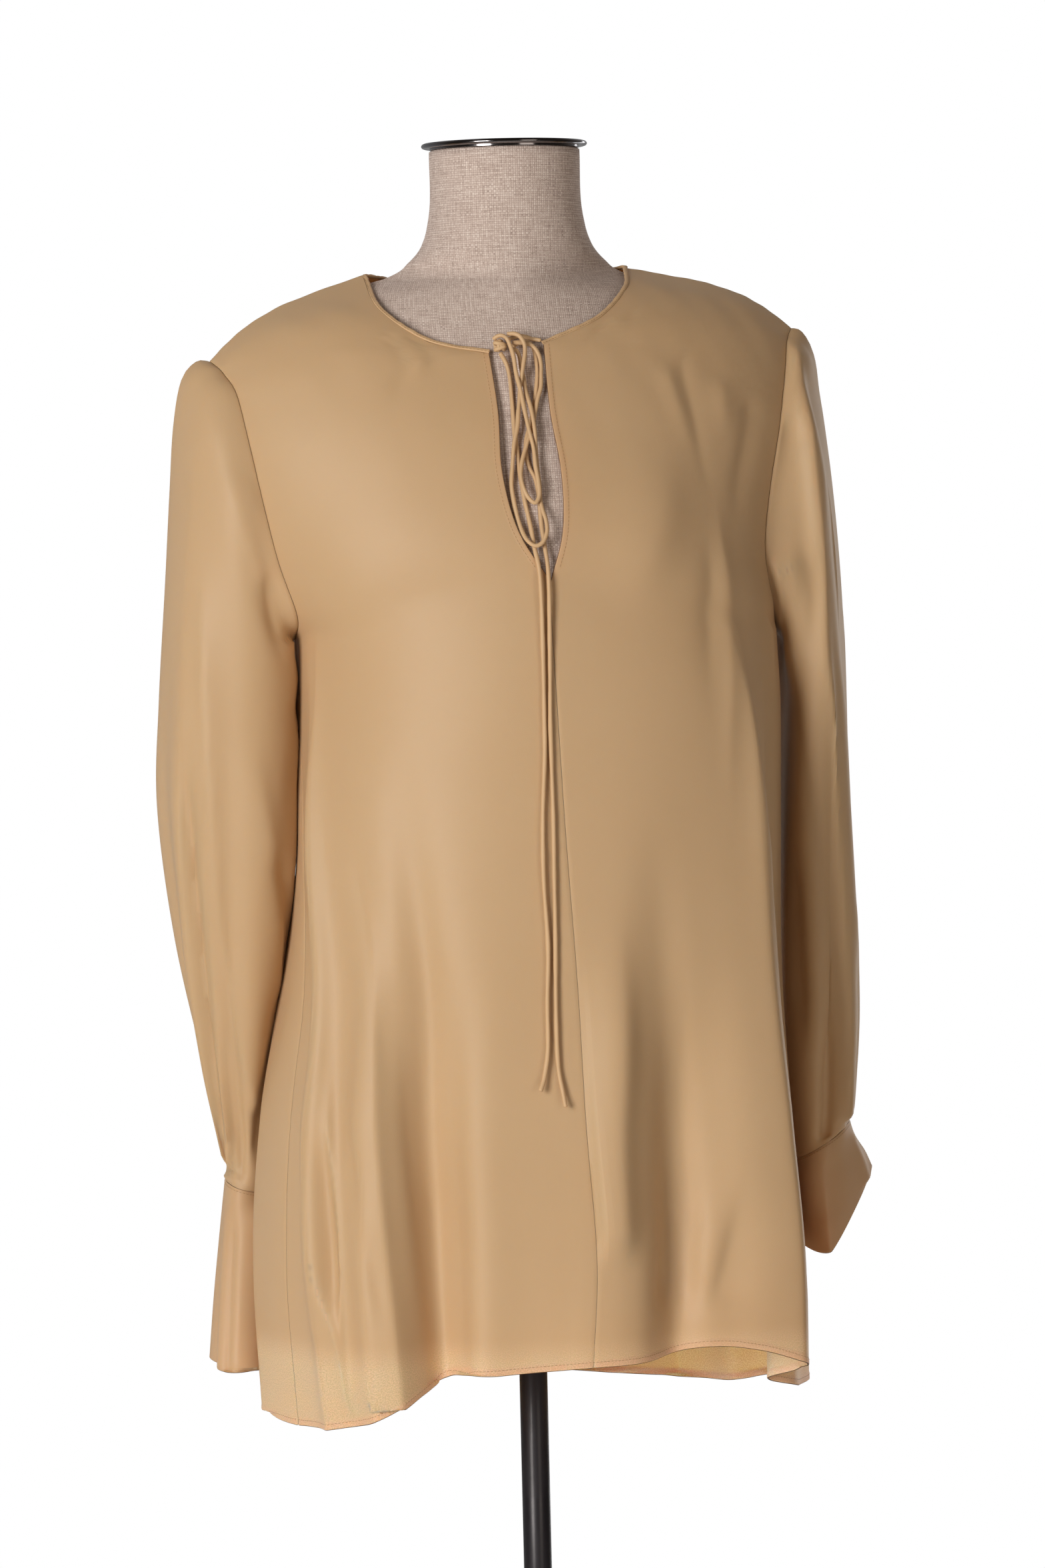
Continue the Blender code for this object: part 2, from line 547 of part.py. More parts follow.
class Cloth:
    """The middle surfaces of all sewn pieces, with one normal at each place where they meet."""

    def __init__(self):
        self.pieces = {}
        self.area = {}

    def add(self, name, mesh):
        points, faces = welded(*mesh)
        self.pieces[name] = (points, faces)
        for face in faces:
            corner = points[face]
            area = np.cross(corner[2] - corner[0], corner[-1] - corner[1])
            for v in face:
                key = place_key(points[v])
                self.area[key] = self.area.get(key, 0) + area

    def normals(self, points):
        found = np.array([self.area[place_key(p)] for p in points])
        return found / np.linalg.norm(found, axis=1, keepdims=True)


def drawn_in(points, normals, faces, by):
    """The points with those on the rim moved into the piece, along its surface."""
    ways = {}
    for a, b in rim(faces):
        along = points[b] - points[a]
        for v in (a, b):
            inward = np.cross(normals[v], along)
            ways.setdefault(v, []).append(inward / np.linalg.norm(inward))
    moved = points.copy()
    for v, inward in ways.items():
        total = sum(inward)
        moved[v] += total * by * len(inward) / max(float(total @ total), 1.0)
    return moved


def wall(points, normals, faces, thick, seams):
    """A closed wall of even thickness round a middle surface.

    seams holds the points before they were drawn in: two walls that meet at a seam read the same
    ones there, and so split their facing edges along the same diagonals.
    """
    count = len(points)
    both = np.concatenate([points + normals * thick / 2, points - normals * thick / 2])
    shell = [list(face) for face in faces]
    shell += [[v + count for v in face[::-1]] for face in faces]
    for a, b in rim(faces):
        if place_key(seams[a]) < place_key(seams[b]):
            shell += [[b, a, b + count], [a, a + count, b + count]]
        else:
            shell += [[b, a, a + count], [b, a + count, b + count]]
    return both, shell


# --------------------------------------------------------------------------- objects
def material(name, colour, roughness, metallic=0.0):
    made = bpy.data.materials.new(name)
    made.use_nodes = True
    shader = made.node_tree.nodes["Principled BSDF"]
    shader.inputs["Base Color"].default_value = (*colour, 1.0)
    shader.inputs["Roughness"].default_value = roughness
    shader.inputs["Metallic"].default_value = metallic
    return made


def place(name, data, finish, root):
    made = bpy.data.objects.new(name, data)
    bpy.context.scene.collection.objects.link(made)
    made.parent = root
    data.materials.append(finish)
    return made


def mesh_object(name, points, faces, finish, root, sharp=50):
    data = bpy.data.meshes.new(name)
    data.from_pydata((np.asarray(points) * MM).tolist(), [], faces)
    data.validate()
    data.shade_smooth()
    data.set_sharp_from_angle(angle=math.radians(sharp))
    return place(name, data, finish, root)


def disc(name, radius, bottom, height, around, edge, finish, root):
    """A round plate or rod about Z with its two edges rounded off."""
    shape = bmesh.new()
    bmesh.ops.create_cone(
        shape, cap_ends=True, segments=around, radius1=radius * MM, radius2=radius * MM,
        depth=height * MM,
    )
    if edge:
        ends = [e for e in shape.edges if abs(e.verts[0].co.z - e.verts[1].co.z) < 1e-6]
        bmesh.ops.bevel(shape, geom=ends, offset=edge * MM, segments=2, profile=0.5, affect="EDGES")
    data = bpy.data.meshes.new(name)
    shape.to_mesh(data)
    shape.free()
    data.shade_smooth()
    data.set_sharp_from_angle(angle=math.radians(50))
    made = place(name, data, finish, root)
    made.location.z = (bottom + height / 2) * MM
    return made


# --------------------------------------------------------------------------- the garment
def make_garment(finish, root):
    cloth = Cloth()
    neckline = {}
    backs = []
    for side, wearer, rows in ((1, "left", FRONT_LEFT), (-1, "right", FRONT_RIGHT)):
        name = f"front_{wearer}"
        front = panel_points(rows, side, 1, FRONT_CENTRE_CORNERS, name)
        rear = back_rows(rows, side)
        back = panel_points(rear, side, -1, (BACK_NECK_ROW,), f"back_{wearer}")
        cloth.add(name, sheet(front, side < 0))
        backs.append(sheet(back, side > 0))
        at = steps(ROW_STEPS)
        neckline[wearer] = (front[at >= NECK_ROW, 0], back[at >= BACK_NECK_ROW, 0])
        loop = armhole(front, back)
        tables = {"left": (SLEEVE_LEFT, CUFF_LEFT), "right": (SLEEVE_RIGHT, CUFF_RIGHT)}
        sleeve_rings, cuff_rings = tables[wearer]
        sleeve = tube_points(sleeve_rings, SLEEVE_STEPS, loop, side, f"sleeve_{wearer}")
        cloth.add(f"sleeve_{wearer}", sheet(sleeve, side < 0, closed=True))
        cuff = tube_points(cuff_rings, CUFF_STEPS, loop, side, f"cuff_{wearer}")
        cloth.add(f"cuff_{wearer}", sheet(cuff, side < 0, closed=True))
    cloth.add("back", joined(*backs))
    for name, (points, faces) in cloth.pieces.items():
        normals = cloth.normals(points)
        trimmed = drawn_in(points, normals, faces, SEAM_GAP / 2)
        mesh_object(name, *wall(trimmed, normals, faces, WALL, points), finish, root)
    return cloth, neckline


def make_binding(cloth, neckline, finish, root):
    """The narrow strip over the neckline, from one corner of the keyhole round to the other."""
    front_r, back_r = neckline["right"]
    front_l, back_l = neckline["left"]
    path = np.concatenate([front_r, back_r[::-1][1:], back_l[1:], front_l[::-1][1:]])
    normals = cloth.normals(path)
    along = np.gradient(path, axis=0)
    off = np.cross(along, normals)
    off = off / np.linalg.norm(off, axis=1, keepdims=True)
    lower = path + off * SEAM_GAP / 2
    upper = path + off * (SEAM_GAP / 2 + BINDING_WIDTH)
    points, faces = sheet(np.stack([lower, upper]), True)
    both = np.concatenate([normals, normals])
    mesh_object("neck_binding", *wall(points, both, faces, BINDING_WALL, points), finish, root)


def make_cords(finish, root):
    for name, cord in CORDS.items():
        knots = np.arange(len(cord.route))
        at = np.linspace(0, knots[-1], knots[-1] * cord.steps + 1)
        data = bpy.data.curves.new(name, "CURVE")
        data.dimensions = "3D"
        data.bevel_depth = CORD_DIAMETER / 2 * MM
        data.bevel_resolution = 2
        data.use_fill_caps = True
        spline = data.splines.new("POLY")
        spline.points.add(len(at) - 1)
        for target, point in zip(spline.points, smooth(knots, cord.route, at) * MM):
            target.co = (*point, 1.0)
        place(name, data, finish, root)


def make_knot(finish, root):
    """The small knot that the cords leave: a round body cut into by its turns of cord."""
    shape = bmesh.new()
    bmesh.ops.create_uvsphere(shape, u_segments=18, v_segments=11, radius=1.0)
    for vert in shape.verts:
        tilt = vert.co.z + 0.6 * vert.co.x
        vert.co *= 1 - KNOT_WRAP * (1 - math.cos(KNOT_TURNS * math.pi * tilt))
        vert.co = [c * r + m for c, r, m in zip(vert.co, KNOT_RADII, KNOT_CENTRE)]
    points = [tuple(vert.co) for vert in shape.verts]
    faces = [[vert.index for vert in face.verts] for face in shape.faces]
    shape.free()
    mesh_object("tie_knot", points, faces, finish, root)


# --------------------------------------------------------------------------- form and stand
def make_form(linen, metal, root):
    rings = []
    for level in FORM:
        for k in range(FORM_AROUND):
            angle = 2 * math.pi * k / FORM_AROUND
            x = level.half_width * rounded(math.cos(angle), level.across)
            reach = level.back if math.sin(angle) > 0 else level.front
            rings.append((x, reach * rounded(math.sin(angle), level.sides), level.z))
    points, faces = sheet(np.array(rings).reshape(len(FORM), FORM_AROUND, 3), False, closed=True)
    faces.append(list(range(FORM_AROUND))[::-1])
    top = len(points) - FORM_AROUND
    faces.append(list(range(top, len(points))))
    mesh_object("form_torso", points, faces, linen, root)
    disc("neck_cap", CAP_RADIUS, CAP_TOP - CAP_THICK, CAP_THICK, BASE_AROUND, CAP_EDGE, metal, root)
    foot = BASE_THICK + FIT_GAP
    disc("pole", POLE_RADIUS, foot, FORM_BOTTOM - FIT_GAP - foot, POLE_AROUND, 0, metal, root)
    disc("base_plate", BASE_RADIUS, 0, BASE_THICK, BASE_AROUND, 2, metal, root)


def main():
    for old in list(bpy.data.objects):
        bpy.data.objects.remove(old)
    root = bpy.data.objects.new("tunic_on_form", None)
    bpy.context.scene.collection.objects.link(root)
    crepe = material("sand_crepe", (0.55, 0.36, 0.19), 0.45)
    linen = material("oatmeal_linen", (0.52, 0.43, 0.36), 0.85)
    gunmetal = material("gunmetal", (0.10, 0.10, 0.11), 0.25, 1.0)
    cloth, neckline = make_garment(crepe, root)
    make_binding(cloth, neckline, crepe, root)
    make_cords(crepe, root)
    make_knot(crepe, root)
    make_form(linen, gunmetal, root)


main()
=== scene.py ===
# %% [markdown]
# # A tunic top on a dress form
# The object is a long-sleeved tunic of sand-coloured crepe, tied with thin cords at a keyhole slit.
# It hangs on a linen-covered dress form with a dark metal neck cap, pole and round base. The solids
# of the CAD model give every place and size. This lesson makes the surfaces that are looked at:
# thin cloth with its folds, seams and stitches, woven linen, and polished metal.

# %% Load the CAD model and note its box
import math
from collections import namedtuple

import bpy
import numpy as np
from mathutils import Matrix, Vector
from mathutils.kdtree import KDTree


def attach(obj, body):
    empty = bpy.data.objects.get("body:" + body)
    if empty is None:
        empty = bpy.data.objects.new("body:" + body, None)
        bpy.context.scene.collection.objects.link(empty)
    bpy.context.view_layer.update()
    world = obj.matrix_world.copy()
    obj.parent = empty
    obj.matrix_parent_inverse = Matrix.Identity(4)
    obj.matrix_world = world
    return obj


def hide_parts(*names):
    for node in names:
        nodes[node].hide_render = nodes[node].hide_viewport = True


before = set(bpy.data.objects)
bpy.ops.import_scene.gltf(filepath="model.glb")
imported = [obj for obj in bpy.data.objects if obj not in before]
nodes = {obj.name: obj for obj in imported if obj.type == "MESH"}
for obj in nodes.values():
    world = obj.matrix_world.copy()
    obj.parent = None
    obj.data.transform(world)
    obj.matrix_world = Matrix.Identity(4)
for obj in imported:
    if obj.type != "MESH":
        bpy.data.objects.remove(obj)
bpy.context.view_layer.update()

MM = 0.001
print("CAD nodes:", len(nodes))

# %% [markdown]
# ## The camera
# A portrait lens stands 4 m in front of the form and a little to the wearer's right, 2.9 degrees
# above the level, with a slight roll. Its matrix is written from three directions, which is exact
# and needs no constraint. The frame is upright, so the sensor's width is the picture's height.

# %% The camera
PICTURE = (1568, 2352)
SENSOR = 36
METRES_PER_PIXEL = 0.00045
CAMERA_DISTANCE = 4.0
CAMERA_TURN = math.radians(-10.0)
CAMERA_RISE = math.radians(2.9)
CAMERA_ROLL = math.radians(1.37)
LOOK_AT = Vector((0.00217, -0.00038, 1.068))


def new_object(name, data):
    """An object of this data, put into the scene."""
    made = bpy.data.objects.new(name, data)
    bpy.context.scene.collection.objects.link(made)
    return made


def make_camera():
    """A camera that looks at LOOK_AT from the turn and rise given."""
    turn, rise, roll = CAMERA_TURN, CAMERA_RISE, CAMERA_ROLL
    level = Vector((math.cos(turn), math.sin(turn), 0))
    back = Vector((math.sin(turn) * math.cos(rise), -math.cos(turn) * math.cos(rise), math.sin(rise)))
    upright = back.cross(level)
    right = level * math.cos(roll) - upright * math.sin(roll)
    up = level * math.sin(roll) + upright * math.cos(roll)
    data = bpy.data.cameras.new("portrait_lens")
    data.sensor_width = SENSOR
    data.lens = SENSOR * CAMERA_DISTANCE / METRES_PER_PIXEL / PICTURE[1]
    camera = new_object("camera", data)
    place = LOOK_AT + back * CAMERA_DISTANCE / math.cos(rise)
    camera.matrix_world = Matrix.Translation(place) @ Matrix((right, up, back)).transposed().to_4x4()
    bpy.context.scene.camera = camera
    print(f"camera at {tuple(round(c, 3) for c in place)}, lens {data.lens:.1f} mm")


make_camera()

# %% [markdown]
# ## Curves through tables
# Every soft shape here is a short table of listed points. `smooth` runs a cubic curve through
# them, and may turn sharply at knots that are corners. `steps` says how finely each interval of a
# table is cut, so that the same table can give a coarse solid or a fine visible surface.

# %% Smooth curves and steps


def smooth(knots, values, at, corners=()):
    """A cubic curve through the knots, which may turn sharply at the knots named as corners."""
    knots = np.asarray(knots, float)
    values = np.asarray(values, float)
    at = np.asarray(at, float)
    out = np.empty(at.shape + values.shape[1:])
    cuts = [0, *(int(np.searchsorted(knots, c)) for c in corners), len(knots) - 1]
    for first, last in zip(cuts[:-1], cuts[1:]):
        inside = at >= knots[first]
        k = knots[first:last + 1]
        v = values[first:last + 1]
        slope = np.gradient(v, k, axis=0)
        i = np.clip(np.searchsorted(k, at[inside], side="right") - 1, 0, len(k) - 2)
        span = k[i + 1] - k[i]
        t = (at[inside] - k[i]) / span
        if v.ndim > 1:
            span = span[:, None]
            t = t[:, None]
        out[inside] = (
            (2 * t**3 - 3 * t**2 + 1) * v[i]
            + (t**3 - 2 * t**2 + t) * span * slope[i]
            + (3 * t**2 - 2 * t**3) * v[i + 1]
            + (t**3 - t**2) * span * slope[i + 1]
        )
    return out


def steps(counts, extra=()):
    """Places between table rows: each interval is cut into its count of steps, and some are added."""
    places = [0.0]
    for row, count in enumerate(counts):
        places += [row + (i + 1) / count for i in range(count)]
    return np.array(sorted(set(np.round(places + list(extra), 5))))


def length_along(line):
    """Length along a line of points, from its first point."""
    return np.concatenate([[0], np.cumsum(np.linalg.norm(np.diff(line, axis=0), axis=1))])


def run_along(points, axis):
    """Length along a grid's rows or columns, from its first point."""
    gaps = np.linalg.norm(np.diff(points, axis=axis), axis=2)
    start = np.zeros_like(np.take(gaps, [0], axis=axis))
    return np.concatenate([start, np.cumsum(gaps, axis=axis)], axis=axis)


def unit(vectors):
    """The same directions, each one long."""
    return vectors / np.linalg.norm(vectors, axis=-1, keepdims=True)


def waves(points, lengths, seed, squash=(1, 1, 1)):
    """Soft uneven waves through space, about -1 to 1: a sum of plane waves of these lengths."""
    rng = np.random.default_rng(seed)
    total = 0
    for length in lengths:
        way = rng.normal(size=3) * squash
        way = way / np.linalg.norm(way)
        total = total + np.sin(points @ way * (2 * math.pi / length) + rng.uniform(0, 2 * math.pi))
    return total / math.sqrt(len(lengths))


print("smooth curve through 0, 1, 0, half way to its top:", smooth((0, 1, 2), (0, 1, 0), [0.5])[0])

# %% [markdown]
# ## Finishes: one helper, and colour from hex
# Each finish starts from what the real one is. `add` puts one node into a tree with its settings
# and links, so that a tree reads as a list of steps, and a few short helpers name the nodes that
# come up again and again. Colours are written as sRGB hex values, as a paint or fabric card gives
# them, and `colour` turns them to the linear values a shader works in.

# %% Node helper and colour


def fill(tree, node, **inputs):
    """Give inputs of a node, by name or by number, a value of their own or a link from a socket."""
    for name, value in inputs.items():
        name = name.replace("_", " ")
        socket = node.inputs[int(name[2:]) if name.startswith("in") and name[2:].isdigit() else name]
        if isinstance(value, bpy.types.NodeSocket):
            tree.links.new(value, socket)
        else:
            socket.default_value = value
    return node


def add(tree, kind, settings=None, **inputs):
    """One new node; settings are its properties, and the rest are its inputs."""
    made = tree.nodes.new(kind)
    for name, value in (settings or {}).items():
        setattr(made, name, value)
    return fill(tree, made, **inputs)


def colour(text):
    """Linear RGBA of an sRGB hex colour."""
    parts = [int(text[i:i + 2], 16) / 255 for i in (1, 3, 5)]
    return (*(c / 12.92 if c <= 0.04045 else ((c + 0.055) / 1.055)**2.4 for c in parts), 1.0)


def blank(name):
    """A new material, its tree and its shader."""
    made = bpy.data.materials.new(name)
    made.use_nodes = True
    return made, made.node_tree, made.node_tree.nodes["Principled BSDF"]


def math_node(tree, operation, a, b=0.0):
    """One step of arithmetic."""
    return add(tree, "ShaderNodeMath", {"operation": operation}, in0=a, in1=b).outputs[0]


def mix(tree, share, low, high, blend="MIX"):
    """The mix of two colours."""
    settings = {"data_type": "RGBA", "blend_type": blend}
    return add(tree, "ShaderNodeMix", settings, in0=share, in6=low, in7=high).outputs[2]


def mapped(tree, value, from_low, from_high, to_low, to_high, kind="LINEAR"):
    """A value moved from one range to another."""
    return add(
        tree, "ShaderNodeMapRange", {"interpolation_type": kind}, Value=value,
        in1=from_low, in2=from_high, in3=to_low, in4=to_high,
    ).outputs[0]


def noise(tree, place, scale, detail, rough):
    """Soft random values through space or over a surface."""
    return add(
        tree, "ShaderNodeTexNoise", Vector=place, Scale=scale, Detail=detail, Roughness=rough,
    ).outputs["Fac"]


print("node helpers:", [f.__name__ for f in (add, math_node, mix, mapped, noise)])

# %% [markdown]
# ## Silk crepe
# Crepe is woven from hard-twisted yarn that shrinks into a fine pebbled face. It is soft and a
# little satiny: broad highlights, no mirror. One layer lets light through: below the form, where
# nothing backs the cloth, more light passes under its surface, and its base colour is painted paler
# there too, a painted glow. The pebble is about 0.8 mm here, coarser than the real 0.4 mm, because
# a finer one would not show. The reverse is the same cloth in its own shade, with a stronger painted
# glow.

# %% Silk crepe
CREPE_PEBBLE = 0.0008
CLOUDS_PER_METRE = 9.0
FORM_EDGE = 0.700           # height of the form's lower edge, below which light comes through and a glow is painted
# The fade and the largest share of the painted glow: below the form's edge the base colour is painted
# paler, as light through one layer would make it.
PAINTED_GLOW_FADE = 0.012
PAINTED_GLOW_SHARE = 0.62


def crepe(name, face, pale, glow, through, depth=0.35):
    """Silk crepe with a fine pebble, cloudy tone, and a painted glow in its base colour where one layer
    hangs below the form.
    """
    made, tree, shader = blank(name)
    place = add(tree, "ShaderNodeTexCoord").outputs
    cloud = noise(tree, place["Object"], CLOUDS_PER_METRE, 2.0, 0.5)
    tone = mix(tree, cloud, colour(face), colour(pale))
    height = add(tree, "ShaderNodeSeparateXYZ", in0=place["Object"]).outputs["Z"]
    edge = FORM_EDGE + PAINTED_GLOW_FADE, FORM_EDGE - PAINTED_GLOW_FADE
    below = mapped(tree, height, *edge, 0.0, PAINTED_GLOW_SHARE, "SMOOTHSTEP")
    pebble = noise(tree, place["UV"], 1 / CREPE_PEBBLE, 2.0, 0.6)
    grain = mapped(tree, pebble, 0.40, 0.62, 0.35, 1.25)
    passed = depth
    if through:
        passed = math_node(tree, "ADD", math_node(tree, "MULTIPLY", below, through), depth)
    # painted glow: the base colour turns paler below the form's edge, flecked by the pebble
    fill(
        tree, shader,
        Base_Color=mix(tree, math_node(tree, "MULTIPLY", grain, below), tone, colour(glow)),
        Normal=add(tree, "ShaderNodeBump", Strength=0.22, Distance=0.0002, Height=pebble).outputs[0],
        Roughness=0.52, Specular_IOR_Level=0.36,
        Sheen_Weight=0.10, Sheen_Roughness=0.35, Sheen_Tint=colour("#ead2b0"),
        Subsurface_Weight=passed, Subsurface_Radius=(1.0, 0.62, 0.34), Subsurface_Scale=0.003,
    )
    return made


# The fourth colour of each crepe is its painted glow below the form.
CREPE_FACE = crepe("sand_silk_crepe", "#c9a67f", "#cdac87", "#f7cfae", 0.7)
CREPE_TRIM = crepe("sand_silk_crepe_trim", "#cfae85", "#d2b28b", "#d2b28b", 0.0, 0.05)
CREPE_ARM = crepe("sand_silk_crepe_arm", "#c9a67f", "#cdac87", "#cdac87", 0.0)
CREPE_REVERSE = crepe("sand_silk_crepe_reverse", "#d2a67c", "#dbb288", "#ffe2cc", 0.9)


def thread_finish(name, shade):
    """Spun silk thread: the cloth's colour, duller and a little darker. The rims' dark paint uses it too.
    """
    made, tree, shader = blank(name)
    fill(tree, shader, Base_Color=colour(shade), Roughness=0.6)
    return made


SILK_THREAD = thread_finish("silk_sewing_thread", "#a17c50")
# The rims of the cloth are painted dark brown: painted shade under the turned edge of hems and the slit,
# and a dark joint where pieces are sewn.
RIM_SEAM_AND_SHADE = thread_finish("silk_folded_edge", "#6f5034")
print("silk finishes:", len(bpy.data.materials))

# %% [markdown]
# ## Oatmeal linen
# The form is covered in plain-weave linen: warp and weft cross over and under, each thread a
# slightly different grey, beige or rose, with thicker slubs now and then. The weave is drawn from
# the piece's own UV map, which counts metres along the cloth, so threads run up and round the form.

# %% Oatmeal linen
THREAD_PITCH = 0.0015
SLUBS_PER_METRE = (70.0, 80.0)          # along the weft and along the warp
LINEN_BANDS = ((0.30, "#ab9b94"), (0.46, "#cdbdb5"), (0.58, "#ddd0c9"), (0.74, "#f0e7e0"))


def linen():
    """Plain weave: a height from two crossed waves, colour streaks along each set of threads, and painted
    shade in the low gaps between them.
    """
    made, tree, shader = blank("oatmeal_linen")
    uv = add(tree, "ShaderNodeTexCoord").outputs["UV"]
    apart = add(tree, "ShaderNodeSeparateXYZ", in0=uv).outputs
    turns = [math_node(tree, "MULTIPLY", apart[k], math.pi / THREAD_PITCH) for k in (0, 1)]
    checker = math_node(tree, "MULTIPLY", *(math_node(tree, "SINE", turn) for turn in turns))
    height = math_node(tree, "ABSOLUTE", checker)
    streaks = []
    for scale in ((1 / THREAD_PITCH, SLUBS_PER_METRE[0], 1.0), (SLUBS_PER_METRE[1], 1 / THREAD_PITCH, 1.0)):
        run = add(tree, "ShaderNodeMapping", Vector=uv, Scale=scale).outputs[0]
        streaks.append(noise(tree, run, 1.0, 3.0, 0.65))
    which = math_node(tree, "GREATER_THAN", checker, 0.0)
    thread = add(tree, "ShaderNodeMix", {"data_type": "FLOAT"}, in0=which, in2=streaks[0], in3=streaks[1])
    ramp = add(tree, "ShaderNodeValToRGB", in0=thread.outputs[0])
    ramp.color_ramp.elements.new(0.5)
    ramp.color_ramp.elements.new(0.6)
    for stop, (at, shade) in zip(ramp.color_ramp.elements, LINEN_BANDS):
        stop.position = at
        stop.color = colour(shade)
    # painted shade: the colour is darkened towards #9c8880 where the weave is low, in the gaps between
    # threads
    gaps = mapped(tree, height, 0.0, 0.35, 0.55, 0.0)
    fill(
        tree, shader, Base_Color=mix(tree, gaps, ramp.outputs[0], colour("#9c8880"), "MULTIPLY"),
        Normal=add(tree, "ShaderNodeBump", Strength=0.7, Distance=0.0003, Height=height).outputs[0],
        Roughness=0.85, Specular_IOR_Level=0.2,
    )
    return made


LINEN = linen()
print(f"linen: a thread every {THREAD_PITCH * 1000:.1f} mm")

# %% [markdown]
# ## Dark chrome and gunmetal gloss
# The neck cap is polished black-chromed steel. The pole and base are steel with a gloss gunmetal
# coat: dark, with a clear skin that mirrors the studio. Each gets faint smears from handling.

# %% Dark metals


def dark_metal(name, shade, metallic, rough, coat):
    """Polished dark metal with faint smears in its roughness."""
    made, tree, shader = blank(name)
    smear = noise(tree, add(tree, "ShaderNodeTexCoord").outputs["Object"], 30.0, 4.0, 0.6)
    fill(
        tree, shader, Base_Color=colour(shade), Metallic=metallic,
        Roughness=mapped(tree, smear, 0.3, 0.7, rough * 0.8, rough * 1.4),
        Coat_Weight=coat, Coat_Roughness=0.2,
    )
    return made


BLACK_CHROME = dark_metal("black_chrome", "#828083", 1.0, 0.12, 0.0)
GUNMETAL_GLOSS = dark_metal("gunmetal_gloss_coat", "#232127", 0.4, 0.45, 0.2)
print("finishes:", [m.name for m in bpy.data.materials])

# %% [markdown]
# ## Turning arrays into meshes
# A surface here is a grid of points. `mesh_piece` makes the object from points, faces and a UV for
# every face corner, shades it smoothly and gives each face its finish. The object itself stays at
# the origin, unturned and unscaled, with its place in its mesh, like the CAD nodes.

# %% Meshes from grids


def grid_quads(index):
    """Faces of a grid of vertex numbers, as an array of four numbers each."""
    corners = (index[:-1, :-1], index[:-1, 1:], index[1:, 1:], index[1:, :-1])
    return np.stack([c.ravel() for c in corners], axis=1)


def numbered_quads(shape):
    """Faces of a grid of this many rows and columns, whose points are numbered row by row."""
    return grid_quads(np.arange(shape[0] * shape[1]).reshape(shape[:2]))


def face_areas(points, quads):
    """Twice the area of each face, as a vector along its normal."""
    p = points[quads]
    return np.cross(p[:, 2] - p[:, 0], p[:, 3] - p[:, 1])


def mesh_piece(name, points, faces, corner_uv, finishes, which=None, sharp=60):
    """An object from points in millimetres, faces, a UV in metres for each corner, and finishes."""
    data = bpy.data.meshes.new(name)
    data.from_pydata((np.asarray(points) * MM).tolist(), [], [list(map(int, f)) for f in faces])
    layer = data.uv_layers.new(name="cloth_metres")
    layer.data.foreach_set("uv", np.asarray(corner_uv, np.float32).ravel())
    for finish in finishes:
        data.materials.append(finish)
    if which is not None:
        data.polygons.foreach_set("material_index", np.asarray(which, np.int32))
    data.shade_smooth()
    data.set_sharp_from_angle(angle=math.radians(sharp))
    return new_object(name, data)


def seat(piece, slot, *replaced):
    """The piece rides on the one body of the model and stands for these CAD nodes."""
    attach(piece, "root")
    if replaced:
        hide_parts(*replaced)
    return piece


print("faces of a grid of 3 by 4 points:", len(numbered_quads((3, 4))))
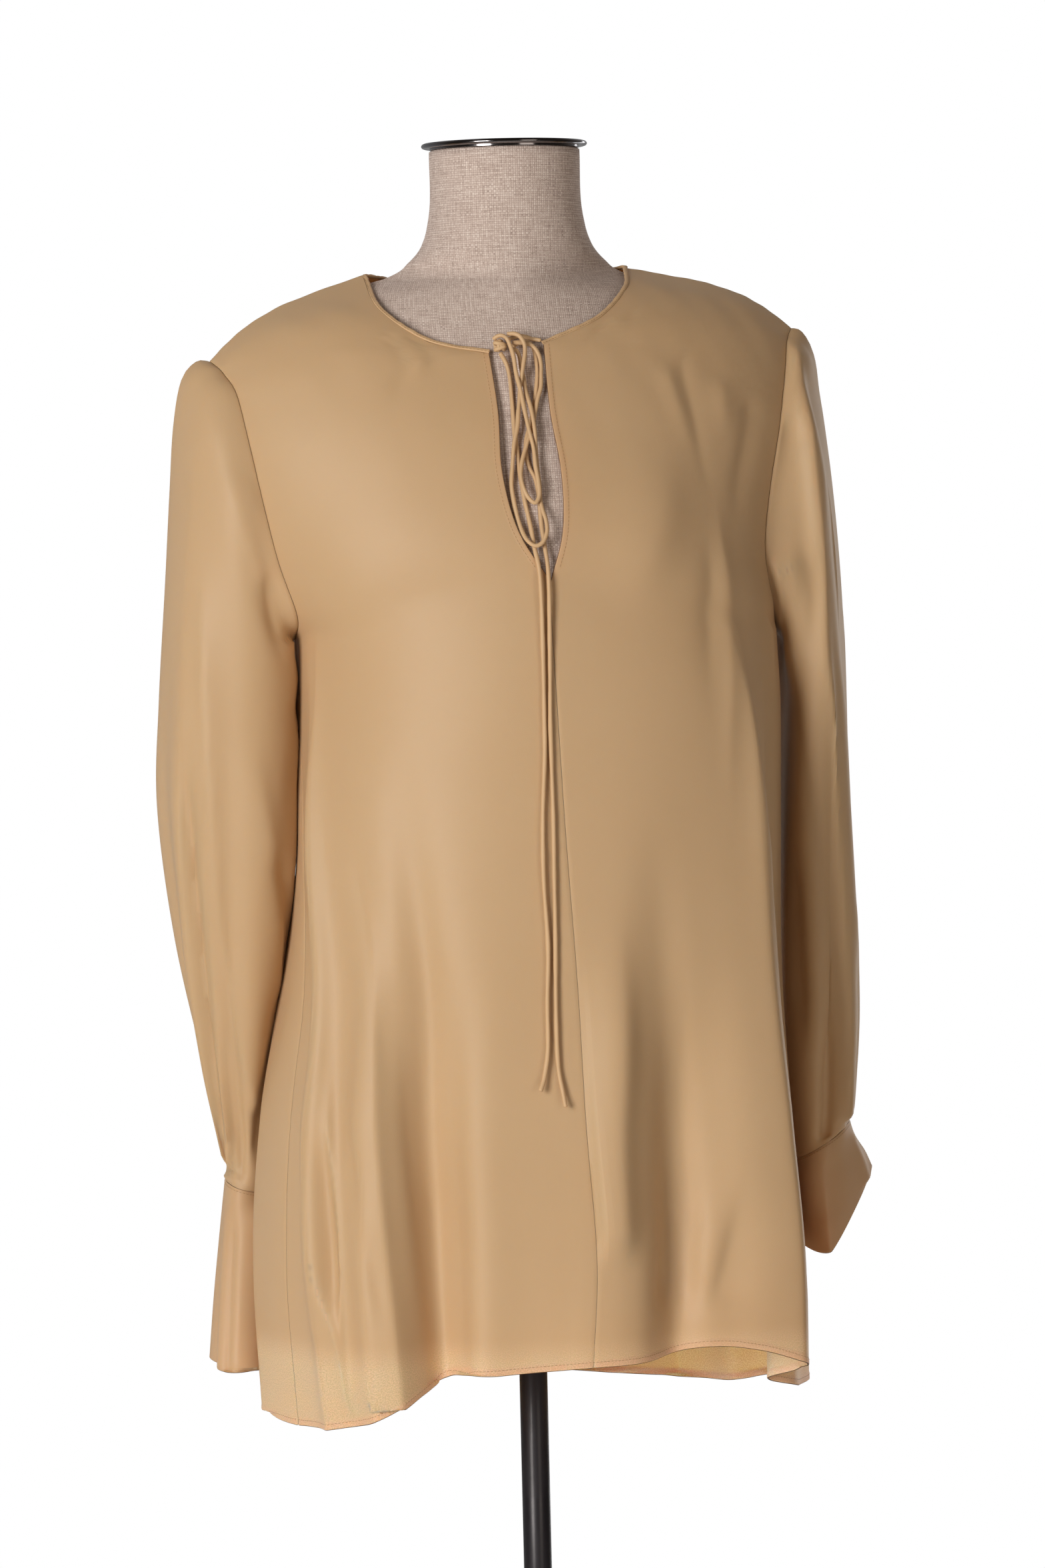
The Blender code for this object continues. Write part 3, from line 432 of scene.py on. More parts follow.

# %% [markdown]
# ## The tie cords
# A rouleau is a narrow bias strip sewn into a tube and turned right side out: 2.8 mm thick, limp,
# and never quite even. Two tails hang free and end bare; two loops leave the knot and come back to
# it. Each is a tube swept along a given route, whose cross-section is carried along without
# twisting. It swells and narrows a little, and has the ridge of its seam along one side.

# %% Routes of the cords, in millimetres
CORD_DIAMETER = 2.8
Cord = namedtuple("Cord", "far_end route")
CORDS = {
    "tie_tail_left": Cord("bare", (
        (-20.5, -85, 1356.5), (-18, -84.5, 1352.5), (-16, -85.5, 1347), (-15, -88, 1338),
        (-15, -92, 1326), (-15, -96.5, 1313.5), (-15, -100.5, 1301.5), (-14, -104.5, 1289),
        (-13.5, -108.5, 1275.5), (-11.5, -113.5, 1258), (-9, -118.5, 1241.5),
        (-7.5, -122, 1228.5), (-5.5, -125.5, 1216), (-5, -127.5, 1203), (-5, -129.5, 1181.5),
        (-5, -130.5, 1151), (-5.5, -132, 1118.5), (-6, -133, 1091), (-8.5, -134.5, 1051),
        (-9, -136, 1011.5), (-7.5, -137, 967), (-9, -138, 931), (-9.5, -138.5, 901),
        (-12.5, -140, 883), (-15.5, -142, 874.5),
    )),
    "tie_tail_right": Cord("bare", (
        (-11, -80.5, 1361.5), (-7, -80, 1364), (-2, -80, 1364), (2, -80, 1361),
        (3.5, -82.5, 1353.5), (3.5, -86.5, 1343), (1.5, -91, 1331.5), (-1, -94, 1320),
        (-4, -98, 1309.5), (-7.5, -101.5, 1299), (-8.5, -105, 1289.5), (-7, -106.5, 1281.5),
        (-4, -109, 1274.5), (-2.5, -111.5, 1266), (-2, -114.5, 1255.5), (-1.5, -117.5, 1242),
        (-0.5, -121, 1229.5), (0.5, -125, 1216), (0.5, -127.5, 1201), (0, -129.5, 1181.5),
        (-0.5, -130.5, 1151), (-1.5, -132, 1118), (-1.5, -133, 1091), (-1.5, -134.5, 1050.5),
        (-2, -136, 1011), (-2.5, -137, 967), (-3.5, -138.5, 921), (-3, -139, 890.5),
        (-0.5, -140.5, 872.5), (0.5, -143, 863.5),
    )),
    "tie_loop_left": Cord("object", (
        (-24.5, -83.5, 1366.5), (-22.5, -84.5, 1368), (-19.5, -86, 1368.5),
        (-16.5, -86.5, 1366.5), (-14.5, -88, 1361.5), (-13, -90.5, 1354.5), (-12, -94, 1343),
        (-10, -98, 1331.5), (-8.5, -101.5, 1320), (-6.5, -106.5, 1305.5), (-4.5, -110, 1294),
        (-4, -113, 1282.5), (-3, -116.5, 1272), (-3, -119, 1263), (-6, -120.5, 1258),
        (-10, -119.5, 1261), (-13, -117.5, 1267.5), (-14, -113.5, 1276.5), (-12, -109.5, 1286),
        (-8.5, -106, 1295.5), (-4.5, -103, 1305), (-1.5, -99.5, 1315), (1.5, -95.5, 1325.5),
        (4.5, -92.5, 1334), (5.5, -89.5, 1342.5), (6, -87, 1349), (5, -85, 1355.5),
        (2, -84, 1360.5), (-2.5, -83.5, 1363), (-7, -83.5, 1363.5), (-11.5, -83.5, 1363.5),
    )),
    "tie_loop_right": Cord("object", (
        (-15, -83.5, 1369.5), (-11, -85, 1369.5), (-7.5, -87, 1367.5), (-5, -88, 1362.5),
        (-5, -89.5, 1356.5), (-6.5, -91.5, 1349.5), (-8, -93, 1342.5), (-9.5, -94, 1334.5),
        (-10.5, -95.5, 1325.5), (-12, -98.5, 1317.5), (-13.5, -102, 1308), (-16.5, -105.5, 1297),
        (-18.5, -108.5, 1283), (-20, -111.5, 1270), (-19, -114.5, 1258), (-17, -117, 1247),
        (-14.5, -120.5, 1238), (-11.5, -124.5, 1232.5), (-7, -126, 1230), (-2.5, -126, 1232.5),
        (0.5, -124.5, 1239), (0.5, -122, 1246.5), (-1, -119.5, 1253), (-2, -116.5, 1260.5),
        (-2, -113, 1272), (-2.5, -110, 1282.5), (-2.5, -107.5, 1292), (-2.5, -106.5, 1301.5),
        (-3, -104, 1311.5), (-4, -100, 1321), (-6, -96, 1330), (-6.5, -90, 1339.5),
        (-7.5, -87, 1347.5), (-8, -85, 1354.5), (-10, -84.5, 1358.5), (-13, -84.5, 1359),
    )),
}
BRIDGE_ROUTE = (
    (7.3, -78.6, 1365), (5, -77.6, 1365.5), (2, -76.5, 1366), (-2.5, -76.5, 1367.5),
    (-6.5, -76.5, 1368), (-11, -78, 1367), (-14, -79.5, 1366),
)
KNOT_CENTRE = np.array((-20.5, -81.5, 1362.0))
print("points of each route:", {name: len(cord.route) for name, cord in CORDS.items()})

# %% Sweep a tube along a route
CORD_SIDES = 14
CORD_STEP = 1.1
FIRST_SIDE = (0.0, -1.0, 0.3)
CORD_ENDS = ((0.86, 0.32), (0.5, 0.52))  # size and height of the rings that round an end, in radii
CORD_TIP = 0.58


def even_path(route, step):
    """A smooth path through the points of a route, with its points evenly spaced."""
    fine = smooth(np.arange(len(route)), route, np.linspace(0, len(route) - 1, len(route) * 12))
    run = length_along(fine)
    at = np.linspace(0, run[-1], max(int(run[-1] / step), 6) + 1)
    return np.stack([np.interp(at, run, fine[:, k]) for k in range(3)], axis=1), run[-1]


def carried_frames(path):
    """Two directions across the path at each point, carried along it without twisting."""
    along = unit(np.gradient(path, axis=0))
    side = np.array(FIRST_SIDE)
    sides = []
    for way in along:
        side = side - way * (side @ way)
        side = side / np.linalg.norm(side)
        sides.append(side)
    sides = np.array(sides)
    return along, sides, np.cross(along, sides)


def tube(path, radius, seed):
    """Rings of a rouleau round a path: uneven, with a seam ridge, and rounded at both ends."""
    along, sides, ups = carried_frames(path)
    run = length_along(path)
    rng = np.random.default_rng(seed)
    beats = rng.uniform(0, 6.3, 3)
    uneven = 1 + 0.035 * np.sin(run / 3.1 + beats[0]) + 0.03 * np.sin(run / 7.7 + beats[1])
    turn = np.linspace(0, 2 * math.pi, CORD_SIDES, endpoint=False)
    ridge = 1 + 0.10 * np.exp(-(((turn - 2.0) / 0.4)**2))
    flat = 1 + 0.05 * np.sin(2 * turn[None, :] + run[:, None] / 11 + beats[2])
    across = radius * uneven[:, None] * ridge[None, :] * flat
    rings = (
        path[:, None]
        + (across * np.cos(turn))[:, :, None] * sides[:, None]
        + (across * np.sin(turn))[:, :, None] * ups[:, None]
    )
    first, last = (
        np.array([
            path[end] + (rings[end] - path[end]) * shrink + along[end] * way * out * radius
            for shrink, out in CORD_ENDS])
        for end, way in ((0, -1), (-1, 1)))
    tips = np.array([path[0] - along[0] * CORD_TIP * radius, path[-1] + along[-1] * CORD_TIP * radius])
    return np.concatenate([first[::-1], rings, last]), tips


def tube_mesh(rings, tips):
    """Points, faces and corner UVs of a tube with closed tips."""
    rows, around = rings.shape[:2]
    index = np.arange(rows * around).reshape(rows, around)
    closed = np.concatenate([index, index[:, :1]], axis=1)
    quads = grid_quads(closed)[:, ::-1]
    first, last = rows * around, rows * around + 1
    fans = [(closed[0, j], closed[0, j + 1], first) for j in range(around)]
    fans += [(closed[-1, j + 1], closed[-1, j], last) for j in range(around)]
    run = run_along(rings, 0).mean(axis=1) * MM
    rim = np.arange(around + 1) / around * CORD_DIAMETER * math.pi * MM
    spread = np.stack(np.broadcast_arrays(rim[None, :], run[:, None]), axis=2).reshape(-1, 2)
    uv = spread[numbered_quads((rows, around + 1))[:, ::-1]].reshape(-1, 2)
    fan_uv = np.tile(spread[:1], (len(fans) * 3, 1))
    points = np.concatenate([rings.reshape(-1, 3), tips])
    return points, [*quads.tolist(), *fans], np.concatenate([uv, fan_uv])


def mesh_sum(meshes):
    """Several meshes as one set of points, faces and corner UVs."""
    points, faces, uvs = [], [], []
    base = 0
    for p, f, uv in meshes:
        points.append(p)
        faces += [[int(v) + base for v in face] for face in f]
        uvs.append(uv)
        base += len(p)
    return np.concatenate(points), faces, np.concatenate(uvs)


print(f"bridge: {even_path(BRIDGE_ROUTE, CORD_STEP)[1]:.0f} mm")

# %% [markdown]
# ## The knot
# The knot is the same cord wound round itself: a small body of turns, and the short bridge from the
# far corner of the keyhole, which is too short to count as a cord of its own. Each turn is a ring
# of tube, tilted as listed, and the turns are sunk a little into each other, as a tight knot is.

# %% The knot and its bridge
Turn = namedtuple("Turn", "shift size tilt lean radius")
KNOT_TURNS = (
    Turn((-1.6, 0.4, -0.2), (3.0, 3.0), 80, 10, 1.35),
    Turn((1.6, 0.2, 0.4), (3.1, 2.9), 65, -22, 1.4),
    Turn((0.2, -0.5, 1.0), (3.5, 2.5), 12, 15, 1.35),
    Turn((0.4, -0.2, -1.8), (3.3, 2.3), -18, -20, 1.35),
)


def knot_turn(turn, seed):
    """A closed-looking ring of cord: its plane is tilted about the depth and leant about the height."""
    angle = np.linspace(0.2, 2 * math.pi + 0.1, 40)
    flat = np.stack([np.cos(angle) * turn.size[0], np.sin(angle) * turn.size[1], 0 * angle], axis=1)
    lean = Matrix.Rotation(math.radians(turn.lean), 3, "Z")
    spin = np.array(lean @ Matrix.Rotation(math.radians(turn.tilt), 3, "Y"))
    path = flat @ spin.T + KNOT_CENTRE + np.array(turn.shift)
    return tube_mesh(*tube(path, turn.radius, seed))


def make_knot():
    """The turns of the knot and the bridge of cord to the far corner of the keyhole, as one mesh."""
    bridge, _ = even_path(BRIDGE_ROUTE, CORD_STEP)
    meshes = [knot_turn(turn, 40 + k) for k, turn in enumerate(KNOT_TURNS)]
    meshes.append(tube_mesh(*tube(bridge, CORD_DIAMETER / 2, 50)))
    piece = mesh_piece("tie_knot_made", *mesh_sum(meshes), [CREPE_TRIM])
    return seat(piece, "crepe", "tie_knot", "tie_bridge")


knot = make_knot()
print("knot:", len(knot.data.polygons), "faces")

# %% The four lengths of cord
for number, (name, cord) in enumerate(CORDS.items()):
    path, length = even_path(cord.route, CORD_STEP)
    rings, tips = tube(path, CORD_DIAMETER / 2, 10 + number)
    piece = mesh_piece(name + "_rouleau", *tube_mesh(rings, tips), [CREPE_TRIM])
    seat(piece, "crepe", name)
    print(f"{name}: {length:.0f} mm")

# %% [markdown]
# ## The cut of the tunic
# Two fronts meet in a centre seam below a keyhole slit. One back piece shares their side and shoulder
# seams. Set-in sleeves are pleated into deep flared cuffs. A row of a body table is one curve across
# the cloth, from the centre line (c) to the side (e): `turn` is the direction in plan in which it
# arrives at the side, `reach_c` and `reach_e` are its handles, and `arch` lifts the one at the side.
# The x of a table counts outwards from the middle, so that both sides of the garment read alike.

# %% The body's rows, in millimetres
Row = namedtuple("Row", "cx cy cz ex ey ez turn reach_c reach_e arch")
ARCH_SHARE = 0.35           # of that lift, at the handle next to the centre
UNDERARM_ROW = 6
KEYHOLE_ROW = 7
NECK_ROW = 11
BACK_NECK_ROW = 12
TOP_ROW = 14

FRONT_LEFT = (
    Row(16, -138, 690, 191, 45, 650, 80, 0.60, 0.56, 0),       # hem
    Row(20, -138, 760, 190, 40, 745, 79, 0.60, 0.56, 0),
    Row(15, -137, 850, 184, 34, 845, 78, 0.60, 0.56, 0),
    Row(12, -135, 940, 179.5, 26, 940, 80, 0.58, 0.54, 0),
    Row(7, -132, 1040, 179.5, 16, 1040, 84, 0.55, 0.50, 0),
    Row(4, -129, 1120, 179.5, 8, 1120, 88, 0.51, 0.45, 0),
    Row(2.3, -126, 1172, 178, 0, 1168, 86, 0.48, 0.41, 0),     # underarm
    Row(2.7, -122, 1206, 171, -34, 1186, 72, 0.48, 0.34, 0),   # foot of the keyhole
    Row(12, -120, 1239, 163, -48, 1222, 58, 0.47, 0.31, 0),
    Row(13.5, -111, 1278, 167, -47, 1260, 50, 0.44, 0.31, 0),
    Row(9.5, -98, 1318, 176, -40, 1302, 46, 0.40, 0.30, 0),
    Row(9.5, -80, 1362, 183, -28, 1336, 44, 0.34, 0.30, 2),    # corner of keyhole and neckline
    Row(50, -64, 1379, 188, -14, 1359, 38, 0.33, 0.30, 10),
    Row(75, -36, 1400, 191, -7, 1366, 20, 0.33, 0.32, 17),
    Row(83, 3, 1415, 195, 0, 1372, 0, 0.33, 0.33, 19),          # shoulder seam
)
FRONT_RIGHT = (
    Row(-16, -138, 690, 168, -48, 648, 60, 0.56, 0.43, 0),
    Row(-20, -138, 760, 173, -46, 748, 62, 0.56, 0.43, 0),
    Row(-15, -137, 850, 168, -42, 846, 66, 0.55, 0.43, 0),
    Row(-12, -135, 940, 155, -36, 940, 72, 0.53, 0.44, 0),
    Row(-7, -132, 1040, 151, -24, 1040, 84, 0.48, 0.40, 0),
    Row(-4, -129, 1120, 149, -10, 1120, 86, 0.42, 0.40, 0),
    Row(-2.3, -126, 1172, 150, 0, 1170, 86, 0.42, 0.40, 0),
    Row(-2.7, -122, 1206, 153, -34, 1186, 72, 0.40, 0.34, 0),
    Row(17.5, -120, 1239, 166, -47, 1220, 58, 0.38, 0.30, 0),
    Row(26, -111, 1278, 175, -48, 1258, 50, 0.36, 0.30, 0),
    Row(25.5, -98, 1318, 183, -42, 1300, 46, 0.36, 0.30, 0),
    Row(27.5, -80, 1357, 189, -29, 1334, 44, 0.34, 0.30, 4),
    Row(66, -67, 1366, 195, -17, 1347, 38, 0.33, 0.30, 12),
    Row(94, -41, 1388, 199, -10, 1353, 20, 0.33, 0.32, 18),
    Row(98, 3, 1412, 203, 0, 1357, 0, 0.33, 0.33, 21),
)
CentreBack = namedtuple("CentreBack", "x y z")
BACK_CENTRE = (
    CentreBack(-4, 132, 650),
    CentreBack(-4, 131, 748),
    CentreBack(-4, 129, 846),
    CentreBack(-4, 124, 940),
    CentreBack(-5, 118, 1040),
    CentreBack(-5, 112, 1120),
    CentreBack(-5, 108, 1172),
    CentreBack(-5, 106.5, 1200),
    CentreBack(-5, 105, 1240),
    CentreBack(-5, 101, 1280),
    CentreBack(-6, 94.5, 1320),
    CentreBack(-6, 84, 1360),
    CentreBack(-7, 66, 1400),
)
BACK_REACH = 0.42           # longest handle of the back, which is rounder than the front
BACK_NECK_SHARE = 0.55      # of the way out to the neck point, where the neckline's own point lies
BACK_NECK_POINT = CentreBack(-7, 51, 1408)
# Where the back's armhole edge lies, against the front's edge at the same row.
BackEdge = namedtuple("BackEdge", "y lift")
BACK_ARMHOLE = (
    BackEdge(30, 0), BackEdge(50, 0), BackEdge(60, 2), BackEdge(57, 3), BackEdge(44, 4),
    BackEdge(27, 4), BackEdge(13, 2),
)
print("body rows:", len(FRONT_LEFT), "left,", len(FRONT_RIGHT), "right")

# %% Large folds and the line of the hem
# A fold grows from the row where it is born to the row where it is fullest: its place across the
# piece, from 0 at the centre to 1 at the side, how far it pushes the cloth out, and its width.
Fold = namedtuple("Fold", "born full at_born at_full push wide_born wide_full sharp")
BELOW_HEM = -0.5
FOLDS = {
    "front_left": (
        Fold(4.2, 1.4, 0.19, 0.16, -19, 0.06, 0.065, 2.0),
        Fold(4.8, 1.4, 0.30, 0.26, -13, 0.12, 0.12, 2.0),
        Fold(6.6, 2.0, 0.53, 0.51, 15, 0.05, 0.085, 1.3),
        Fold(6.2, 1.4, 0.70, 0.67, -21, 0.07, 0.065, 2.0),
        Fold(5.5, 0.6, 0.92, 0.95, 9, 0.08, 0.08, 2.0),
    ),
    "front_right": (
        Fold(4.8, 1.4, 0.46, 0.41, -22, 0.08, 0.07, 2.0),
        Fold(4.4, 1.4, 0.38, 0.355, -8, 0.10, 0.08, 2.0),
        Fold(3.6, 1.4, 0.66, 0.62, 12, 0.06, 0.07, 1.5),
        Fold(6.4, 1.4, 0.88, 0.82, 12, 0.05, 0.06, 1.4),
        Fold(3.5, BELOW_HEM, 0.20, 0.16, -7, 0.12, 0.12, 2.0),
    ),
    "back_left": (
        Fold(4.8, BELOW_HEM, 0.34, 0.30, -20, 0.10, 0.12, 2.0),
        Fold(5.6, BELOW_HEM, 0.60, 0.66, -16, 0.08, 0.09, 2.0),
    ),
    "back_right": (
        Fold(5.2, BELOW_HEM, 0.24, 0.28, -22, 0.10, 0.11, 2.0),
        Fold(4.4, BELOW_HEM, 0.62, 0.60, -17, 0.08, 0.09, 2.0),
    ),
    "sleeve_left": (
        Fold(0.5, 4, 0.12, 0.13, 5, 0.04, 0.05, 1.3),
        Fold(3.0, 9, 0.20, 0.24, -7, 0.05, 0.05, 2.0),
        Fold(5.0, 9, 0.92, 0.94, -8, 0.05, 0.05, 2.0),
        Fold(4.0, 9, 0.66, 0.64, -7, 0.06, 0.06, 2.0),
    ),
    "sleeve_right": (
        Fold(1.0, 8, 0.10, 0.12, 6, 0.04, 0.04, 1.4),
        Fold(5.0, 9, 0.04, 0.05, -9, 0.04, 0.035, 2.0),
        Fold(3.0, 8, 0.20, 0.24, -7, 0.05, 0.05, 2.0),
        Fold(4.0, 9, 0.86, 0.88, -8, 0.06, 0.06, 2.0),
        Fold(4.0, 9, 0.66, 0.64, -7, 0.06, 0.06, 2.0),
    ),
    "cuff_left": (
        Fold(0.2, 3, 0.80, 0.80, -6, 0.05, 0.07, 2.0),
    ),
    "cuff_right": (
        Fold(0.2, 3, 0.11, 0.12, -8, 0.03, 0.04, 2.0),
        Fold(0.2, 3, 0.70, 0.72, -8, 0.05, 0.07, 2.0),
    ),
}
# The height of the hem over the straight line between its two ends, by place across the piece.
HemPoint = namedtuple("HemPoint", "across lift")
HEM = {
    "front_left": (
        HemPoint(0, 0), HemPoint(0.12, 6), HemPoint(0.24, 16), HemPoint(0.40, 18),
        HemPoint(0.60, 6), HemPoint(0.77, -3), HemPoint(1, 0),
    ),
    "front_right": (
        HemPoint(0, 0), HemPoint(0.20, 5), HemPoint(0.38, 10), HemPoint(0.47, 4),
        HemPoint(0.62, -5), HemPoint(0.80, -5), HemPoint(1, 0),
    ),
    "back_left": (
        HemPoint(0, 0), HemPoint(0.30, -2), HemPoint(0.50, -9), HemPoint(0.68, -8),
        HemPoint(0.85, -3), HemPoint(1, 0),
    ),
    "back_right": (
        HemPoint(0, 0), HemPoint(0.28, 3), HemPoint(0.45, -2), HemPoint(0.60, 2),
        HemPoint(1, 0),
    ),
}

print("large folds:", {name: len(folds) for name, folds in FOLDS.items()})

# %% Rings of the sleeves and cuffs
# A ring has an outer point (o), an inner point (i), its size from front to back, how far its front
# and rear hang below them (dip), its squareness, and how much of the armhole's own shape it keeps.
Ring = namedtuple("Ring", "ox oy oz ix iy iz depth dip square keep")
SLEEVE_LEFT = (
    Ring(195, 0, 1372, 178, 0, 1168, 100, 0, 2, 1.0),
    Ring(203, 2, 1369, 185.5, 2, 1164, 104, 0, 2, 0.85),
    Ring(211, 4, 1354, 188.5, 4, 1154, 108, 0, 2, 0.60),
    Ring(217, 8, 1322, 188, 8, 1138, 110, 0, 2, 0.30),
    Ring(222, 12, 1280, 188, 13, 1113, 108, 0, 2, 0.10),
    Ring(227, 16, 1220, 187, 18, 1074, 106, 0, 2, 0),
    Ring(232, 22, 1150, 186.5, 26, 1024, 104, 0, 2, 0),
    Ring(236, 30, 1060, 187, 36, 965, 100, 0, 2, 0),
    Ring(239, 38, 970, 188.5, 44, 905, 98, 0, 2, 0),
    Ring(240, 44, 895, 190.5, 50, 852, 94, 0, 2, 0),
    Ring(238, 48, 848, 193.5, 54, 816, 88, 0, 2, 0),
    Ring(235, 50, 826, 195, 56, 800, 84, 0, 2, 0),
)
SLEEVE_RIGHT = (
    Ring(203, 0, 1357, 150, 0, 1170, 100, 0, 2, 1.0),
    Ring(212, 1, 1357, 157.5, 2, 1166, 104, 0, 2, 0.85),
    Ring(222, 3, 1345, 157.5, 3, 1155, 108, 0, 2, 0.60),
    Ring(228, 6, 1314, 154.5, 6, 1138, 110, 0, 2, 0.30),
    Ring(231, 8, 1270, 152, 9, 1112, 110, 0, 2, 0.10),
    Ring(235, 11, 1210, 152, 12, 1074, 108, 0, 2, 0),
    Ring(241, 15, 1130, 153, 17, 1026, 106, 0, 2, 0),
    Ring(243, 24, 1060, 157, 26, 970, 104, 0, 2, 0),
    Ring(232, 44, 970, 161, 40, 905, 100, 0, 2, 0),
    Ring(215, 64, 890, 162, 55, 852, 94, 0, 2, 0),
    Ring(202, 74, 838, 162, 63, 815, 88, 0, 2, 0),
    Ring(195, 78, 803, 162, 66, 792, 84, 0, 2, 0),
)
CUFF_LEFT = (
    SLEEVE_LEFT[-1],
    Ring(239, 50, 814, 196, 60, 784, 94, 4, 1.8, 0),
    Ring(246, 51, 803, 197, 64, 765, 106, 16, 1.5, 0),
    Ring(251, 52, 792, 197, 66, 748, 116, 30, 1.25, 0),
)
CUFF_RIGHT = (
    SLEEVE_RIGHT[-1],
    Ring(200, 79, 764, 164, 67, 756, 98, 0, 2, 0),
    Ring(205, 80, 722, 166, 68, 716, 116, 0, 2, 0),
    Ring(209, 81, 681, 168, 69, 676, 132, 2, 2, 0),
)
print("rings:", len(SLEEVE_LEFT), "for a sleeve,", len(CUFF_LEFT), "for a cuff")

# %% [markdown]
# ## From tables to surfaces
# These are the middle surfaces of the CAD walls, cut more finely. A panel is a grid of rows and
# columns; a sleeve or cuff is a grid of rings, whose first ring keeps the loop of the armhole's own
# seam points. Extra rows and columns run close to each edge, where seams dip and hems are doubled.

# %% Panels, sleeves and cuffs as grids
PANEL_STEPS = (12, 12, 12, 13, 11, 8, 6, 6, 7, 7, 9, 6, 7, 9)
HEM_ROWS = (0.008, 0.02, 0.034, 0.046, 0.056, 0.068)
SEAM_COLUMNS = (0.004, 0.009, 0.016, 0.025)
PANEL_COLUMNS = 116
SLEEVE_STEPS = (3, 3, 5, 8, 10, 12, 13, 14, 14, 10, 7)
SLEEVE_ENDS = (0.06, 0.14, 0.24, 10.80, 10.89, 10.95)
CUFF_STEPS = (9, 10, 12)
CUFF_ENDS = (0.03, 0.07, 0.13, 2.93, 2.97)
HEM_REACH = 3               # rows over which the hem's own line fades out upwards
Grid = namedtuple("Grid", "piece points flip closed at across")


def fold_push(folds, across, row):
    """How far the folds push the cloth out, at places across a piece and along its rows."""
    push = np.zeros(np.broadcast(across, row).shape)
    for fold in folds:
        grown = np.clip((row - fold.born) / (fold.full - fold.born), 0, 1)
        at = fold.at_born + (fold.at_full - fold.at_born) * grown
        wide = fold.wide_born + (fold.wide_full - fold.wide_born) * grown
        push = push + fold.push * grown**1.4 * np.exp(-np.abs((across - at) / wide)**fold.sharp)
    return push


def outward(points, sign):
    """Unit normals of a grid of points, along its outer side."""
    normal = np.cross(np.gradient(points, axis=1), np.gradient(points, axis=0)) * sign
    return normal / np.maximum(np.linalg.norm(normal, axis=2, keepdims=True), 1e-9)


def back_rows(front, side):
    """Rows of the half of the back that is sewn to this front."""
    rows = []
    for number, row in enumerate(front):
        edge = (row.ex, row.ey, row.ez)
        turn = row.turn
        if number <= UNDERARM_ROW:
            turn = 180 - row.turn
        elif number < TOP_ROW:
            shift = BACK_ARMHOLE[number - UNDERARM_ROW - 1]
            edge = (row.ex, shift.y, row.ez + shift.lift)
        if number <= BACK_NECK_ROW:
            middle = BACK_CENTRE[number]
            centre = (side * middle.x, middle.y, middle.z)
        elif number < TOP_ROW:
            inner = side * BACK_NECK_POINT.x
            x = inner + (front[-1].cx - inner) * BACK_NECK_SHARE
            centre = (x, BACK_NECK_POINT.y, BACK_NECK_POINT.z)
        else:
            centre = (front[-1].cx, front[-1].cy, front[-1].cz)
        handles = min(row.reach_c, BACK_REACH), min(row.reach_e, BACK_REACH)
        rows.append(Row(*centre, *edge, turn, *handles, row.arch))
    return rows


def panel(rows, side, facing, corners, piece):
    """A quarter of the body. side is 1 on the wearer's left, and facing is 1 on the front."""
    table = np.array(rows, float)
    number = np.arange(len(rows))
    at = steps(PANEL_STEPS, HEM_ROWS)
    centre = smooth(number, table[:, 0:3], at, corners)
    edge = smooth(number, table[:, 3:6], at, (UNDERARM_ROW,))
    shape = smooth(number, table[:, 6:10], at, (UNDERARM_ROW,))
    turn = np.radians(shape[:, 0])
    span = np.hypot(edge[:, 0] - centre[:, 0], edge[:, 1] - centre[:, 1])
    rise = (edge[:, 2] - centre[:, 2]) / 3
    arch = shape[:, 3]
    start = np.stack([shape[:, 1] * span, 0 * rise, rise + arch * ARCH_SHARE], 1)
    arrive = np.stack([np.cos(turn), facing * np.sin(turn), 0 * turn], 1)
    arrive *= (shape[:, 2] * span)[:, None]
    arrive[:, 2] = rise - arch
    across = np.array(sorted({
        *np.linspace(0, 1, PANEL_COLUMNS + 1), *SEAM_COLUMNS, *(1 - c for c in SEAM_COLUMNS)}))
    p = across[None, :, None]
    points = (
        (1 - p)**3 * centre[:, None]
        + 3 * (1 - p)**2 * p * (centre + start)[:, None]
        + 3 * (1 - p) * p**2 * (edge - arrive)[:, None]
        + p**3 * edge[:, None]
    )
    hem = np.array(HEM[piece])
    lift = smooth(hem[:, 0], hem[:, 1], across)
    points[:, :, 2] += lift * np.clip(1 - at / HEM_REACH, 0, 1)[:, None]
    points[:, :, 0] *= side
    away = outward(points, side * facing)
    held = np.clip(np.minimum(across, 1 - across) / 0.05, 0, 1)
    push = fold_push(FOLDS[piece], across[None, :], at[:, None]) * held
    return Grid(piece, points + away * push[:, :, None], side * facing < 0, False, at, across)


def armhole(front, back):
    """The loop of seam points from the shoulder down the front edge and up the back edge."""
    upper = np.flatnonzero(front.at >= UNDERARM_ROW)
    return np.concatenate([front.points[upper[::-1], -1], back.points[upper[1:-1], -1]])


def loop_angles(loop):
    """Angles round a loop by its length: 0 at its first point, pi half way along its list."""
    half = len(loop) // 2
    run = length_along(np.vstack([loop, loop[:1]]))
    front = run[:half] / run[half]
    rear = 1 + (run[half:-1] - run[half]) / (run[-1] - run[half])
    return np.concatenate([front, rear]) * math.pi


def rounded(value, square):
    return np.sign(value) * np.abs(value)**(2 / square)


